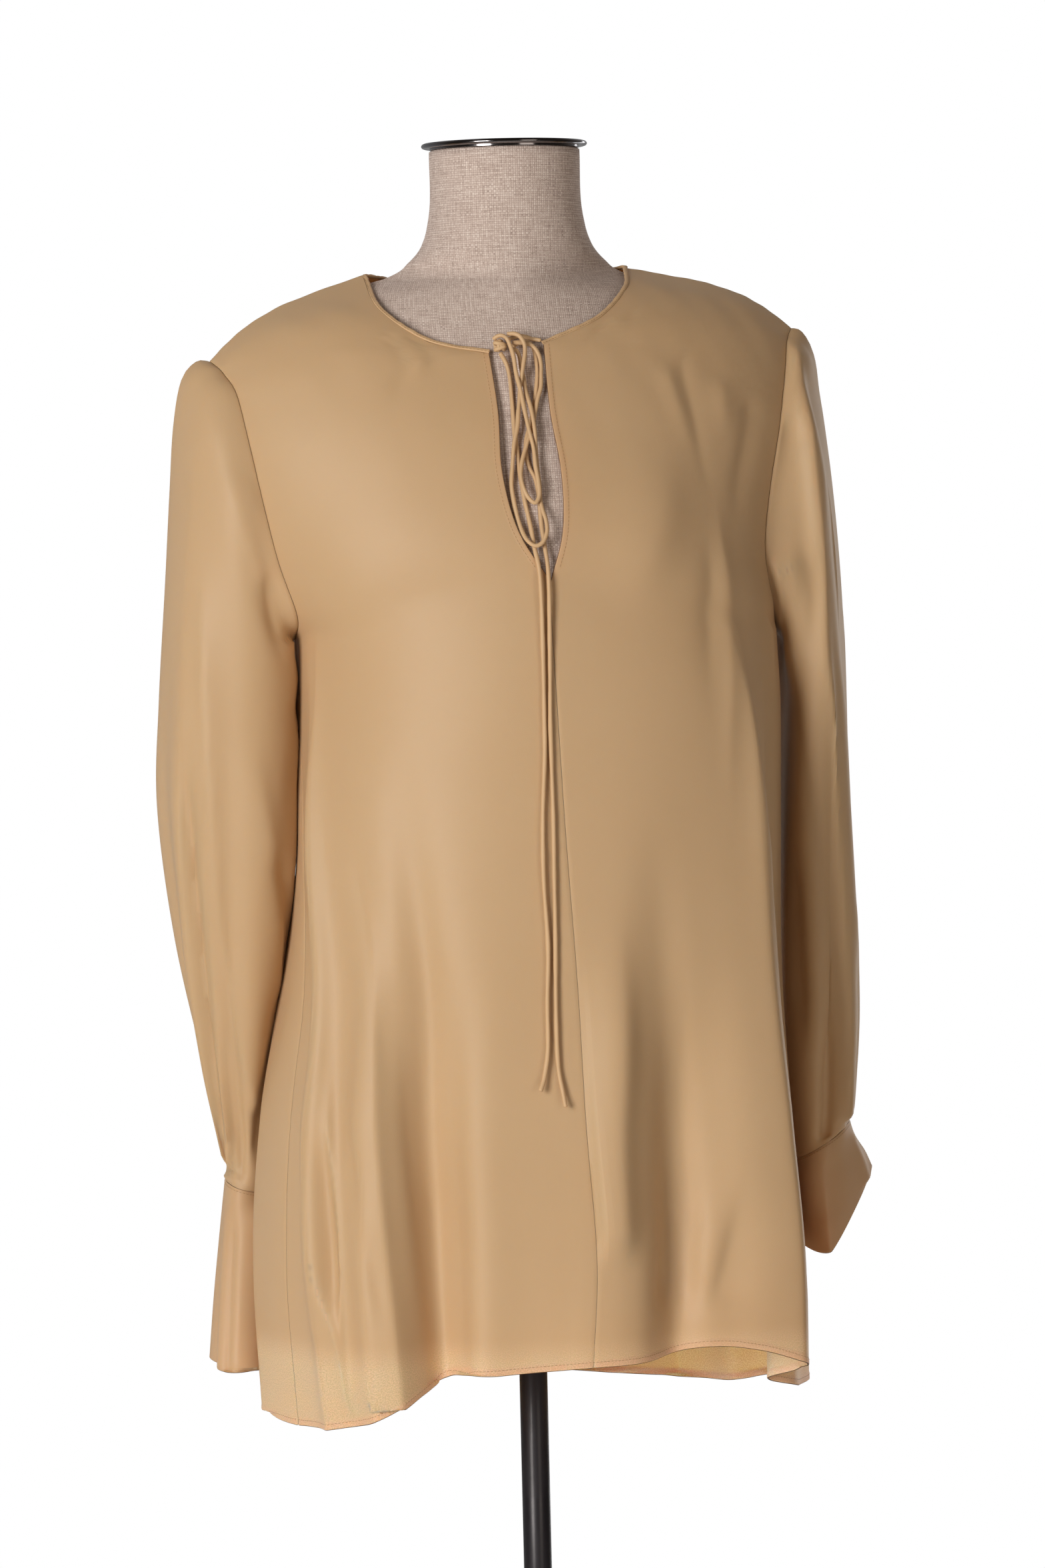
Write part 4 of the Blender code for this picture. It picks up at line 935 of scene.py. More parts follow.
def tube_grid(rings, counts, ends, loop, side, piece):
    """A sleeve or cuff: rings whose first keeps the shape of the armhole's loop."""
    number = steps(counts, ends)
    row = smooth(np.arange(len(rings)), np.array(rings, float), number)
    outer, inner = row[:, 0:3], row[:, 3:6]
    reach = (outer - inner) / 2
    middle = (outer + inner) / 2
    plan = unit(reach[:, :2])
    width = np.stack([plan[:, 1], -plan[:, 0], 0 * plan[:, 0]], 1) * row[:, 6:7] / 2
    axis = unit(np.cross(reach, width))
    angle = loop_angles(loop)
    c = rounded(np.cos(angle), row[:, 8:9])
    s = rounded(np.sin(angle), row[:, 8:9])
    keep = row[:, 9:10]
    off = loop * (side, 1, 1) - middle[0]
    c = c + keep * (off @ reach[0] / (reach[0] @ reach[0]) - c)
    s = s + keep * (off @ width[0] / (width[0] @ width[0]) - s)
    w = keep * (off @ axis[0])
    points = (
        middle[:, None] + c[:, :, None] * reach[:, None] + s[:, :, None] * width[:, None]
        + w[:, :, None] * axis[:, None]
    )
    points[:, :, 2] -= row[:, 7:8] * np.abs(s)
    away = outward(np.concatenate([points[:, -1:], points, points[:, :1]], axis=1), 1)[:, 1:-1]
    turns = angle / (2 * math.pi)
    across = number[:, None]
    push = sum(fold_push(FOLDS[piece], turns[None, :] + whole, across) for whole in (-1, 0, 1))
    held = np.clip(across / 0.5, 0, 1)
    if piece.startswith("sleeve"):
        held = held * np.clip((len(rings) - 1 - across) / 0.5, 0, 1)
    points = points + away * (push * held)[:, :, None]
    points[:, :, 0] *= side
    return Grid(piece, points, side < 0, True, number, turns)


def make_grids():
    """All the sewn pieces as grids; the back is two halves."""
    made = {}
    for side, wearer, rows, sleeve, cuff in (
        (1, "left", FRONT_LEFT, SLEEVE_LEFT, CUFF_LEFT),
        (-1, "right", FRONT_RIGHT, SLEEVE_RIGHT, CUFF_RIGHT),
    ):
        front = panel(rows, side, 1, (KEYHOLE_ROW, NECK_ROW), f"front_{wearer}")
        back = panel(back_rows(rows, side), side, -1, (BACK_NECK_ROW,), f"back_{wearer}")
        loop = armhole(front, back)
        tubes = [
            tube_grid(sleeve, SLEEVE_STEPS, SLEEVE_ENDS, loop, side, f"sleeve_{wearer}"),
            tube_grid(cuff, CUFF_STEPS, CUFF_ENDS, loop, side, f"cuff_{wearer}")]
        made.update({grid.piece: grid for grid in (front, back, *tubes)})
    return made


grids = make_grids()
for name, grid in grids.items():
    print(f"{name}: {grid.points.shape[0]} rows of {grid.points.shape[1]} points")

# %% [markdown]
# ## Seams that agree
# Two pieces that are sewn together must lean the same way along their seam, or it would show as a
# hard ridge. So each place in space gets one number, however many pieces use it, and one normal:
# the sum of the faces round it. A place that two pieces use is sewn; an edge with one is free.

# %% Shared places and normals
PIECES = {
    "front_left": ("front_left",), "front_right": ("front_right",),
    "back": ("back_left", "back_right"), "sleeve_left": ("sleeve_left",),
    "sleeve_right": ("sleeve_right",), "cuff_left": ("cuff_left",), "cuff_right": ("cuff_right",),
}


def wrapped(grid, values):
    """Values of a grid with its first column repeated at the end, where it closes on itself."""
    return np.concatenate([values, values[:, :1]], axis=1) if grid.closed else values


def share_places():
    """For each grid: the number of each place, its normal, and whether another piece uses it."""
    names = list(grids)
    stacked = np.concatenate([grids[n].points.reshape(-1, 3) for n in names])
    _, number = np.unique(np.round(stacked, 2) + 0.0, axis=0, return_inverse=True)
    number = number.reshape(-1)
    users = [set() for _ in range(number.max() + 1)]
    total = np.zeros((number.max() + 1, 3))
    at = 0
    numbers = {}
    for n in names:
        shape = grids[n].points.shape[:2]
        numbers[n] = number[at:at + shape[0] * shape[1]].reshape(shape)
        at += shape[0] * shape[1]
        quads = grid_quads(wrapped(grids[n], numbers[n]))
        corner = grid_quads(wrapped(grids[n], np.arange(shape[0] * shape[1]).reshape(shape)))
        area = face_areas(grids[n].points.reshape(-1, 3), corner) * (-1 if grids[n].flip else 1)
        for k in range(4):
            np.add.at(total, quads[:, k], area)
        piece = next(key for key, members in PIECES.items() if n in members)
        for place in np.unique(numbers[n]):
            users[place].add(piece)
    total = unit(total)
    sewn = np.array([len(u) > 1 for u in users])
    return numbers, {n: total[numbers[n]] for n in names}, {n: sewn[numbers[n]] for n in names}


place_of, normal_of, sewn_of = share_places()
print("sewn places:", int(sum(s.sum() for s in sewn_of.values()) / 2))

# %% [markdown]
# ## Creases
# The large folds are in the tables above. A crease is smaller and sharper: a ridge pushed out or a
# trough pushed in along a given path of (row, place across). Its two flanks have their own
# widths, because a real fold is steep on one side and rolls off on the other, and it fades in and
# out over a length at each end. Distances are measured on the cloth itself, in millimetres.

# %% The crease tables
Crease = namedtuple("Crease", "push near far sharp fade path")
CREASES = {
    "front_right": (
        # the long crest down the side, which bends forward near the hem
        Crease(8.0, 10, 12, 1.1, (200, 25), (
            (7.2, 0.80), (5.4, 0.82), (4.3, 0.85), (3.5, 0.845), (3.0, 0.84), (2.5, 0.83), (2.1, 0.825),
            (1.6, 0.825), (1.2, 0.82), (0.9, 0.80), (0.6, 0.765), (0.3, 0.745), (0.0, 0.74))),
        # a second crest that leaves it, and the hollow between the two
        Crease(6.0, 7, 12, 1.2, (70, 50), (
            (2.6, 0.79), (1.95, 0.77), (1.6, 0.74), (1.3, 0.718), (1.05, 0.718), (0.8, 0.73),
            (0.4, 0.748))),
        Crease(-5.0, 7, 8, 1.8, (40, 30), (
            (2.1, 0.80), (1.7, 0.782), (1.3, 0.77), (0.95, 0.765), (0.75, 0.757))),
        # the big hollow, steep on the side nearer the centre
        Crease(8.0, 9, 20, 1.5, (220, 1), (
            (4.2, 0.65), (3.6, 0.63), (2.5, 0.60), (1.6, 0.575), (0.8, 0.555), (0.0, 0.545))),
        Crease(-2.5, 22, 10, 2.0, (110, 1), (
            (3.2, 0.50), (2.5, 0.49), (1.6, 0.46), (0.8, 0.435), (0.0, 0.425))),
        Crease(-4.5, 16, 12, 2.0, (120, 1), ((3.4, 0.32), (2.2, 0.325), (1.1, 0.325), (0.0, 0.33))),
        # two slanting edges that run into it
        Crease(-2.4, 22, 7, 1.6, (60, 50), (
            (4.2, 0.67), (3.7, 0.655), (3.1, 0.62), (2.5, 0.56), (2.2, 0.54))),
        Crease(-3.2, 16, 6, 1.6, (40, 40), ((2.1, 0.675), (1.6, 0.64), (1.1, 0.60), (0.6, 0.57))),
        # soft pulls under the neckline
        Crease(-2.0, 6, 7, 1.6, (4, 45), ((12.2, 0.12), (11.6, 0.21), (10.8, 0.33), (10.2, 0.40))),
        Crease(-1.8, 5, 7, 1.6, (4, 30), ((12.1, 0.03), (11.6, 0.13), (11.1, 0.20), (10.7, 0.26))),
        Crease(1.5, 6, 6, 1.8, (4, 40), ((12.1, 0.08), (11.6, 0.17), (11.0, 0.27), (10.5, 0.33))),
        # a pull from the bust point to the side
        Crease(1.2, 26, 20, 2.0, (40, 60), ((8.2, 0.50), (7.4, 0.62), (6.4, 0.74), (5.6, 0.80))),
    ),
    "front_left": (
        # the crest of the S-shaped fold
        Crease(5.0, 11, 5, 1.1, (170, 1), (
            (6.8, 0.475), (6.2, 0.49), (5.6, 0.505), (5.0, 0.52), (4.2, 0.535), (3.4, 0.55), (2.6, 0.55),
            (1.8, 0.55), (1.0, 0.55), (0.4, 0.55), (0.0, 0.55))),
        # the dark hollow beside the centre seam, and its foot
        Crease(8.5, 18, 11, 2.0, (120, 30), ((3.6, 0.08), (2.6, 0.065), (1.8, 0.045), (0.9, 0.035))),
        Crease(-7.5, 13, 26, 2.0, (110, 30), (
            (3.3, 0.25), (2.6, 0.235), (1.8, 0.205), (0.9, 0.16), (0.3, 0.13))),
        Crease(-4.0, 8, 22, 1.8, (50, 20), ((1.5, 0.39), (1.2, 0.345), (0.7, 0.29), (0.3, 0.26))),
        Crease(3.0, 16, 16, 2.0, (60, 60), ((1.4, 0.26), (0.9, 0.24), (0.4, 0.22), (0.1, 0.20))),
        # soft wrinkles on the chest and down the side
        Crease(4.5, 34, 20, 2.0, (60, 60), ((9.8, 0.36), (8.6, 0.33), (7.4, 0.24), (6.4, 0.13))),
        Crease(-1.1, 5, 7, 1.6, (20, 60), (
            (11.3, 0.55), (10.9, 0.50), (10.2, 0.52), (9.4, 0.55), (8.6, 0.60))),
        Crease(1.5, 8, 6, 1.8, (15, 50), ((11.0, 0.43), (10.6, 0.44), (10.0, 0.47), (9.3, 0.52))),
        Crease(2.0, 9, 10, 1.8, (15, 30), ((10.9, 0.64), (10.5, 0.655), (10.1, 0.66), (9.7, 0.655))),
        Crease(-1.8, 8, 12, 1.8, (15, 60), ((10.6, 0.80), (9.9, 0.79), (9.0, 0.75), (8.0, 0.72))),
        Crease(1.8, 7, 9, 1.6, (50, 120), (
            (8.9, 0.62), (7.8, 0.62), (7.0, 0.58), (6.1, 0.50), (5.4, 0.47), (4.6, 0.43), (3.9, 0.42))),
        Crease(-1.8, 9, 7, 1.6, (40, 90), (
            (8.2, 0.56), (7.2, 0.52), (6.3, 0.44), (5.5, 0.40), (4.8, 0.38))),
        Crease(1.3, 5, 5, 1.4, (30, 60), ((7.0, 0.80), (6.4, 0.78), (5.7, 0.77), (5.0, 0.76))),
        # pulls from the corner of the keyhole
        Crease(-1.1, 4, 5, 1.5, (2, 18), ((11.9, 0.06), (11.5, 0.09), (11.1, 0.13))),
        Crease(-0.8, 4, 4, 1.5, (2, 22), ((12.2, 0.12), (11.7, 0.20), (11.3, 0.26))),
    ),
    "sleeve_right": (
        # the long sharp crest down the front
        Crease(3.4, 5, 13, 1.1, (90, 12), (
            (4.1, 0.14), (5.0, 0.155), (5.8, 0.17), (6.6, 0.19), (7.2, 0.20), (7.7, 0.215), (8.1, 0.25),
            (8.7, 0.29), (9.3, 0.34))),
        Crease(3.0, 4, 9, 1.1, (50, 2), (
            (6.9, 0.155), (7.6, 0.17), (8.4, 0.18), (9.4, 0.175), (10.6, 0.16))),
        # pleats that run down into the cuff
        Crease(-8.0, 7, 6, 1.7, (80, 3), (
            (6.0, 0.12), (6.5, 0.13), (7.0, 0.14), (7.5, 0.15), (8.0, 0.158), (8.6, 0.155),
            (9.7, 0.145), (10.9, 0.13))),
        Crease(-3.6, 3, 6, 1.4, (30, 2), ((8.4, 0.195), (9.1, 0.20), (9.8, 0.20), (10.8, 0.175))),
        Crease(-2.6, 4, 3, 1.4, (50, 2), ((8.0, 0.06), (9.0, 0.075), (10.0, 0.09), (10.9, 0.10))),
        Crease(-3.4, 5, 5, 1.6, (50, 2), ((8.3, 0.90), (9.4, 0.92), (10.9, 0.94))),
        # soft pulls near the body
        Crease(2.4, 15, 7, 1.6, (60, 40), ((5.4, 0.27), (6.2, 0.33), (6.8, 0.38), (7.4, 0.43))),
        Crease(-3.6, 8, 9, 1.8, (25, 25), ((6.2, 0.35), (6.6, 0.39), (7.1, 0.43), (7.6, 0.45))),
        Crease(-5.0, 12, 14, 1.8, (40, 20), ((7.3, 0.43), (8.3, 0.40), (9.3, 0.37), (10.4, 0.34))),
        Crease(3.0, 20, 20, 2.0, (30, 60), (
            (3.4, 0.49), (5.0, 0.495), (6.2, 0.49), (7.4, 0.485), (8.6, 0.48))),
        Crease(6.0, 16, 16, 2.0, (8, 30), ((0.5, 0.46), (1.6, 0.465), (2.8, 0.47), (3.8, 0.47))),
        Crease(-3.4, 7, 8, 1.6, (16, 40), ((0.9, 0.335), (1.6, 0.345), (2.4, 0.37), (3.2, 0.39))),
        Crease(2.0, 16, 16, 2.0, (20, 90), ((0.4, 0.20), (1.6, 0.22), (2.8, 0.24), (4.2, 0.26))),
        Crease(2.2, 26, 26, 2.0, (60, 60), ((1.6, 0.50), (3.0, 0.50), (5.0, 0.50), (7.0, 0.49))),
    ),
    "sleeve_left": (
        Crease(5.0, 9, 4.5, 1.1, (14, 6), (
            (0.1, 0.03), (0.9, 0.08), (1.4, 0.13), (1.9, 0.16), (2.4, 0.20), (3.0, 0.225), (3.9, 0.24),
            (4.8, 0.26), (5.5, 0.24), (6.4, 0.21), (7.2, 0.19), (8.8, 0.17), (9.7, 0.16), (10.6, 0.15))),
        Crease(3.4, 12, 30, 2.0, (14, 60), ((1.0, 0.52), (3.0, 0.54), (5.0, 0.56), (7.4, 0.57))),
        Crease(-6.5, 24, 10, 1.9, (30, 40), (
            (1.2, 0.04), (2.4, 0.10), (3.4, 0.125), (4.6, 0.14), (5.6, 0.13), (6.6, 0.105), (8.2, 0.08))),
        Crease(-3.5, 10, 16, 1.8, (20, 90), (
            (0.6, 0.14), (1.4, 0.20), (2.4, 0.27), (3.4, 0.29), (4.8, 0.30))),
        Crease(6.0, 16, 26, 2.0, (20, 40), (
            (0.6, 0.33), (1.4, 0.37), (2.4, 0.40), (3.4, 0.41), (4.2, 0.42))),
        Crease(4.5, 26, 12, 2.0, (60, 60), (
            (4.2, 0.30), (5.4, 0.30), (6.8, 0.28), (8.2, 0.27), (9.4, 0.26))),
        Crease(-4.0, 10, 14, 1.8, (50, 50), ((6.2, 0.38), (7.0, 0.37), (8.0, 0.36), (8.8, 0.35))),
        Crease(2.0, 12, 12, 1.8, (50, 50), ((5.0, 0.33), (6.0, 0.31), (7.0, 0.28), (8.2, 0.27))),
        Crease(-3.0, 4, 6, 1.4, (60, 2), ((7.8, 0.13), (8.8, 0.125), (9.8, 0.12), (10.9, 0.12))),
        Crease(-3.0, 5, 5, 1.6, (50, 2), ((8.2, 0.24), (9.4, 0.235), (10.9, 0.23))),
        Crease(-3.4, 6, 6, 1.6, (50, 2), ((8.0, 0.90), (9.2, 0.92), (10.9, 0.93))),
    ),
    "cuff_right": (
        Crease(7.0, 14, 15, 2.0, (14, 1), ((0.1, 0.37), (1.2, 0.37), (2.2, 0.365), (3.0, 0.36))),
        Crease(-4.5, 5, 7, 1.6, (30, 1), ((0.3, 0.215), (1.0, 0.225), (1.8, 0.235), (3.0, 0.245))),
        Crease(2.2, 5, 8, 1.4, (20, 1), ((0.4, 0.255), (1.2, 0.265), (2.0, 0.275), (3.0, 0.285))),
    ),
    "cuff_left": (
        Crease(2.0, 7, 9, 1.4, (10, 1), ((0.2, 0.05), (1.2, 0.055), (2.2, 0.06), (3.0, 0.06))),
        Crease(-1.6, 9, 9, 1.8, (12, 10), ((0.6, 0.20), (1.4, 0.21), (2.4, 0.22))),
    ),
    "back_left": (
        Crease(7.0, 16, 8, 1.2, (180, 1), (
            (6.6, 0.52), (5.0, 0.50), (3.4, 0.50), (1.8, 0.49), (0.0, 0.47))),
        Crease(-2.0, 20, 22, 2.0, (110, 1), ((3.8, 0.36), (2.4, 0.33), (1.2, 0.31), (0.0, 0.31))),
        Crease(6.0, 7, 14, 1.2, (140, 1), ((4.6, 0.16), (3.2, 0.17), (1.8, 0.19), (0.0, 0.20))),
        Crease(6.0, 14, 7, 1.2, (120, 1), ((4.0, 0.80), (2.8, 0.81), (1.6, 0.83), (0.0, 0.84))),
        Crease(-1.5, 14, 22, 2.0, (100, 1), ((3.0, 0.66), (1.8, 0.67), (0.0, 0.68))),
        Crease(-1.8, 9, 7, 1.6, (50, 80), ((10.4, 0.62), (9.2, 0.66), (7.8, 0.72), (6.6, 0.80))),
        Crease(1.6, 10, 8, 1.6, (40, 60), ((11.6, 0.40), (10.4, 0.50), (9.0, 0.56), (7.6, 0.60))),
    ),
    "back_right": (
        Crease(7.0, 8, 16, 1.2, (180, 1), (
            (6.2, 0.44), (4.8, 0.44), (3.2, 0.46), (1.6, 0.44), (0.0, 0.43))),
        Crease(-2.0, 18, 22, 2.0, (110, 1), ((3.8, 0.22), (2.4, 0.25), (1.2, 0.28), (0.0, 0.28))),
        Crease(6.5, 14, 7, 1.2, (150, 1), ((4.4, 0.10), (3.0, 0.11), (1.6, 0.12), (0.0, 0.12))),
        Crease(5.0, 7, 14, 1.2, (130, 1), ((4.2, 0.78), (3.0, 0.78), (1.6, 0.80), (0.0, 0.81))),
        Crease(-1.5, 18, 16, 2.0, (90, 1), ((3.0, 0.64), (1.8, 0.62), (0.0, 0.61))),
        Crease(-1.8, 7, 9, 1.6, (50, 80), ((10.2, 0.58), (9.0, 0.64), (7.4, 0.72), (6.4, 0.82))),
        Crease(1.4, 9, 9, 1.6, (30, 60), ((11.8, 0.30), (10.8, 0.40), (9.4, 0.46), (8.0, 0.48))),
        Crease(2.0, 16, 9, 2.0, (20, 60), ((5.8, 0.92), (5.2, 0.92), (4.6, 0.92), (3.8, 0.92))),
    ),
}

print("creases:", {name: len(creases) for name, creases in CREASES.items()})

# %% Push of a crease
PATH_STEPS = 6


def grid_places(grid, path):
    """Points of space under (row, across) places of a grid."""
    across = np.append(grid.across, 1.0) if grid.closed else grid.across
    points = wrapped(grid, grid.points)
    i = np.interp(path[:, 0], grid.at, np.arange(len(grid.at)))
    j = np.interp(path[:, 1] % 1 if grid.closed else path[:, 1], across, np.arange(len(across)))
    i0 = np.minimum(i.astype(int), len(grid.at) - 2)
    j0 = np.minimum(j.astype(int), len(across) - 2)
    u = (i - i0)[:, None]
    v = (j - j0)[:, None]
    low = points[i0, j0] * (1 - v) + points[i0, j0 + 1] * v
    high = points[i0 + 1, j0] * (1 - v) + points[i0 + 1, j0 + 1] * v
    return low * (1 - u) + high * u


def soft_step(value):
    value = np.clip(value, 0, 1)
    return value * value * (3 - 2 * value)


def crease_push(grid, crease):
    """Push of one crease at every point of a grid, by its distance from the path in millimetres."""
    knots = np.array(crease.path, float)
    count = (len(knots) - 1) * PATH_STEPS + 1
    fine = smooth(np.arange(len(knots)), knots, np.linspace(0, len(knots) - 1, count))
    line = grid_places(grid, fine)
    ways = np.diff(line, axis=0)
    lengths = np.maximum(np.linalg.norm(ways, axis=1), 1e-6)
    run = np.concatenate([[0], np.cumsum(lengths)])
    points = grid.points.reshape(-1, 1, 3)
    t = np.clip(((points - line[:-1]) * ways).sum(axis=2) / lengths**2, 0, 1)
    gap = np.linalg.norm(points - line[:-1] - t[:, :, None] * ways, axis=2)
    best = gap.argmin(axis=1)
    pick = np.arange(len(best))
    share = t[pick, best]
    distance = gap[pick, best]
    at = run[best] + share * lengths[best]
    path_across = fine[best, 1] * (1 - share) + fine[best + 1, 1] * share
    offset = np.broadcast_to(grid.across, grid.points.shape[:2]).ravel() - path_across
    if grid.closed:
        offset = (offset + 0.5) % 1 - 0.5
    width = np.where(offset < 0, crease.near, crease.far)
    push = crease.push * np.exp(-(distance / width)**crease.sharp)
    push *= soft_step(at / crease.fade[0]) * soft_step((run[-1] - at) / crease.fade[1])
    return push.reshape(grid.points.shape[:2])


# %% [markdown]
# ## Dressing the surfaces
# Along a seam the cloth dips into a groove and puckers slightly, because the thread draws it in.
# Hems and the keyhole's edge are turned under, so they are thicker and stand a little proud. All of
# it fades with the distance from the edge. Low waves, the same through all pieces, keep any part of
# the cloth from being perfectly even.

# %% Distances, seams, hems and waves
CLOTH = 0.55
SEAM_DIP = 0.40
SEAM_REACH = 1.1
PUCKER = 0.16
PUCKER_REACH = 7
HEM_BAND = 4.0
HEM_THICKER = 0.32
KEYHOLE_BAND = 3.0
KEYHOLE_THICKER = 0.22
BAND_EDGE = 0.9
CUFF_THICKER = 0.25
SLACK = 0.42                # height of the low waves
SHOULDER_SLACK = 0.16       # of shorter ones that only the shoulders have
SHOULDER_HEIGHT = (1390, 90)
FAR_AWAY = 1e3
Dressed = namedtuple("Dressed", "middle outer inner uv bulge")


def edge_distances(grid, sewn):
    """Distance of each point from the nearest sewn edge and from the nearest free edge."""
    rows = run_along(grid.points, 0)
    to_seam = np.full(grid.points.shape[:2], FAR_AWAY)
    to_free = np.full(grid.points.shape[:2], FAR_AWAY)
    edges = [(rows, sewn[0][None, :], None), (rows[-1:] - rows, sewn[-1][None, :], None)]
    if not grid.closed:
        across = run_along(grid.points, 1)
        slit = (grid.at >= KEYHOLE_ROW) & (grid.at <= NECK_ROW)
        edges.append((across, sewn[:, 0][:, None], slit[:, None]))
        edges.append((across[:, -1:] - across, sewn[:, -1][:, None], False))
    for distance, is_sewn, may_be_free in edges:
        to_seam = np.minimum(to_seam, np.where(is_sewn, distance, FAR_AWAY))
        free = ~is_sewn if may_be_free is None else ~is_sewn & may_be_free
        to_free = np.minimum(to_free, np.where(free, distance, FAR_AWAY))
    return to_seam, to_free


def dress(grid, normals, sewn):
    """The finished middle, outer and inner surfaces of a grid, and its UV in metres."""
    to_seam, to_free = edge_distances(grid, sewn)
    near_shoulder = np.exp(-((grid.points[..., 2] - SHOULDER_HEIGHT[0]) / SHOULDER_HEIGHT[1])**2)
    push = SLACK * waves(grid.points, (62, 88, 120, 170), 5, (1, 1, 0.22))
    push = push + SHOULDER_SLACK * waves(grid.points, (24, 31, 43), 8, (1, 1, 0.5)) * near_shoulder
    push = push - SEAM_DIP * np.exp(-(to_seam / SEAM_REACH)**2)
    pucker = waves(grid.points, (8.5, 11, 15), 12, (0.3, 0.3, 1))
    push = push + PUCKER * np.exp(-to_seam / PUCKER_REACH) * pucker
    clear = soft_step(to_seam / PUCKER_REACH)
    for crease in CREASES.get(grid.piece, ()):
        push = push + crease_push(grid, crease) * clear
    middle = grid.points + normals * push[:, :, None]
    half = np.full(push.shape, CLOTH / 2)
    if not grid.closed:
        band = KEYHOLE_BAND if grid.piece.startswith("front") else HEM_BAND
        upper = (grid.at >= KEYHOLE_ROW)[:, None]
        wide = np.where(upper, band, HEM_BAND)
        thicker = np.where(upper, KEYHOLE_THICKER, HEM_THICKER)
        half += thicker * (1 - soft_step((to_free - wide) / BAND_EDGE))
    elif grid.piece.startswith("cuff"):
        half += CUFF_THICKER
    run = run_along(wrapped(grid, grid.points), 1)
    rise = run_along(grid.points, 0).mean(axis=1)
    uv = np.stack(np.broadcast_arrays(run, rise[:, None]), axis=2) * MM
    bulge = np.where(sewn, 0, half * 0.8)
    thick = normals * half[:, :, None]
    return Dressed(middle, middle + thick, middle - thick, uv, bulge)


dressed = {name: dress(grid, normal_of[name], sewn_of[name]) for name, grid in grids.items()}
print("cloth surfaces dressed:", len(dressed))

# %% [markdown]
# ## Cloth against cloth
# The sleeves hang against the body. Where the waves and creases of both would meet, the sleeve
# gives way: its near side is drawn off the body by just the space it lacks. A second round takes up
# what the first leaves between the points.

# %% Draw the sleeves clear of the body
CLEAR = 0.6
LOOK_FOR = 9                # how far off the other surface is looked for
MOST_DRAWN = 8
FACING = 0.2                # largest cosine between two sides that still face each other
HANGS_AGAINST = (
    ("sleeve_right", "back_right"), ("cuff_right", "back_right"), ("sleeve_left", "back_left"),
)


def draw_clear(moving, still):
    """Move one dressed surface off another wherever it is nearer than CLEAR, and say how far."""
    here, there = dressed[moving], dressed[still].outer.reshape(-1, 3)
    tree = KDTree(len(there))
    for k, point in enumerate(there):
        tree.insert(point, k)
    tree.balance()
    outer = here.outer.reshape(-1, 3)
    found = [tree.find(point)[1:] for point in outer]
    near = np.array([k for k, _ in found])
    way = normal_of[still].reshape(-1, 3)[near]
    space = ((outer - there[near]) * way).sum(axis=1)
    facing = (normal_of[moving].reshape(-1, 3) * way).sum(axis=1) < FACING
    close = np.array([far for _, far in found]) < LOOK_FOR
    push = np.where(facing & close, np.clip(CLEAR - space, 0, MOST_DRAWN), 0)
    shift = (way * push[:, None]).reshape(here.outer.shape)
    moved = {field: getattr(here, field) + shift for field in ("middle", "outer", "inner")}
    dressed[moving] = here._replace(**moved)
    return push.max()


for moving, still in 2 * HANGS_AGAINST:
    print(f"{moving} drawn off {still} by up to {draw_clear(moving, still):.1f} mm")

# %% [markdown]
# ## Closed cloth
# A render needs both sides of the cloth and the edge between them. Each piece is made a closed thin
# shell: the outer face, the inner face with the reverse of the fabric, and a rounded rim. The rim is
# painted dark brown: where pieces are sewn it is a dark joint, and at hems and the slit it is painted
# shade, the shade under a turned edge. Sewn rims are drawn back by a hair, so that the seam is a fine
# dark line and the pieces never touch.

# %% Shells and their rims
SEAM_HAIR = 0.11


def rim_edges(quads):
    """Directed edges that only one face has."""
    a = quads.ravel()
    b = np.roll(quads, -1, axis=1).ravel()
    edges = set(zip(a.tolist(), b.tolist()))
    return sorted(edge for edge in edges if (edge[1], edge[0]) not in edges)


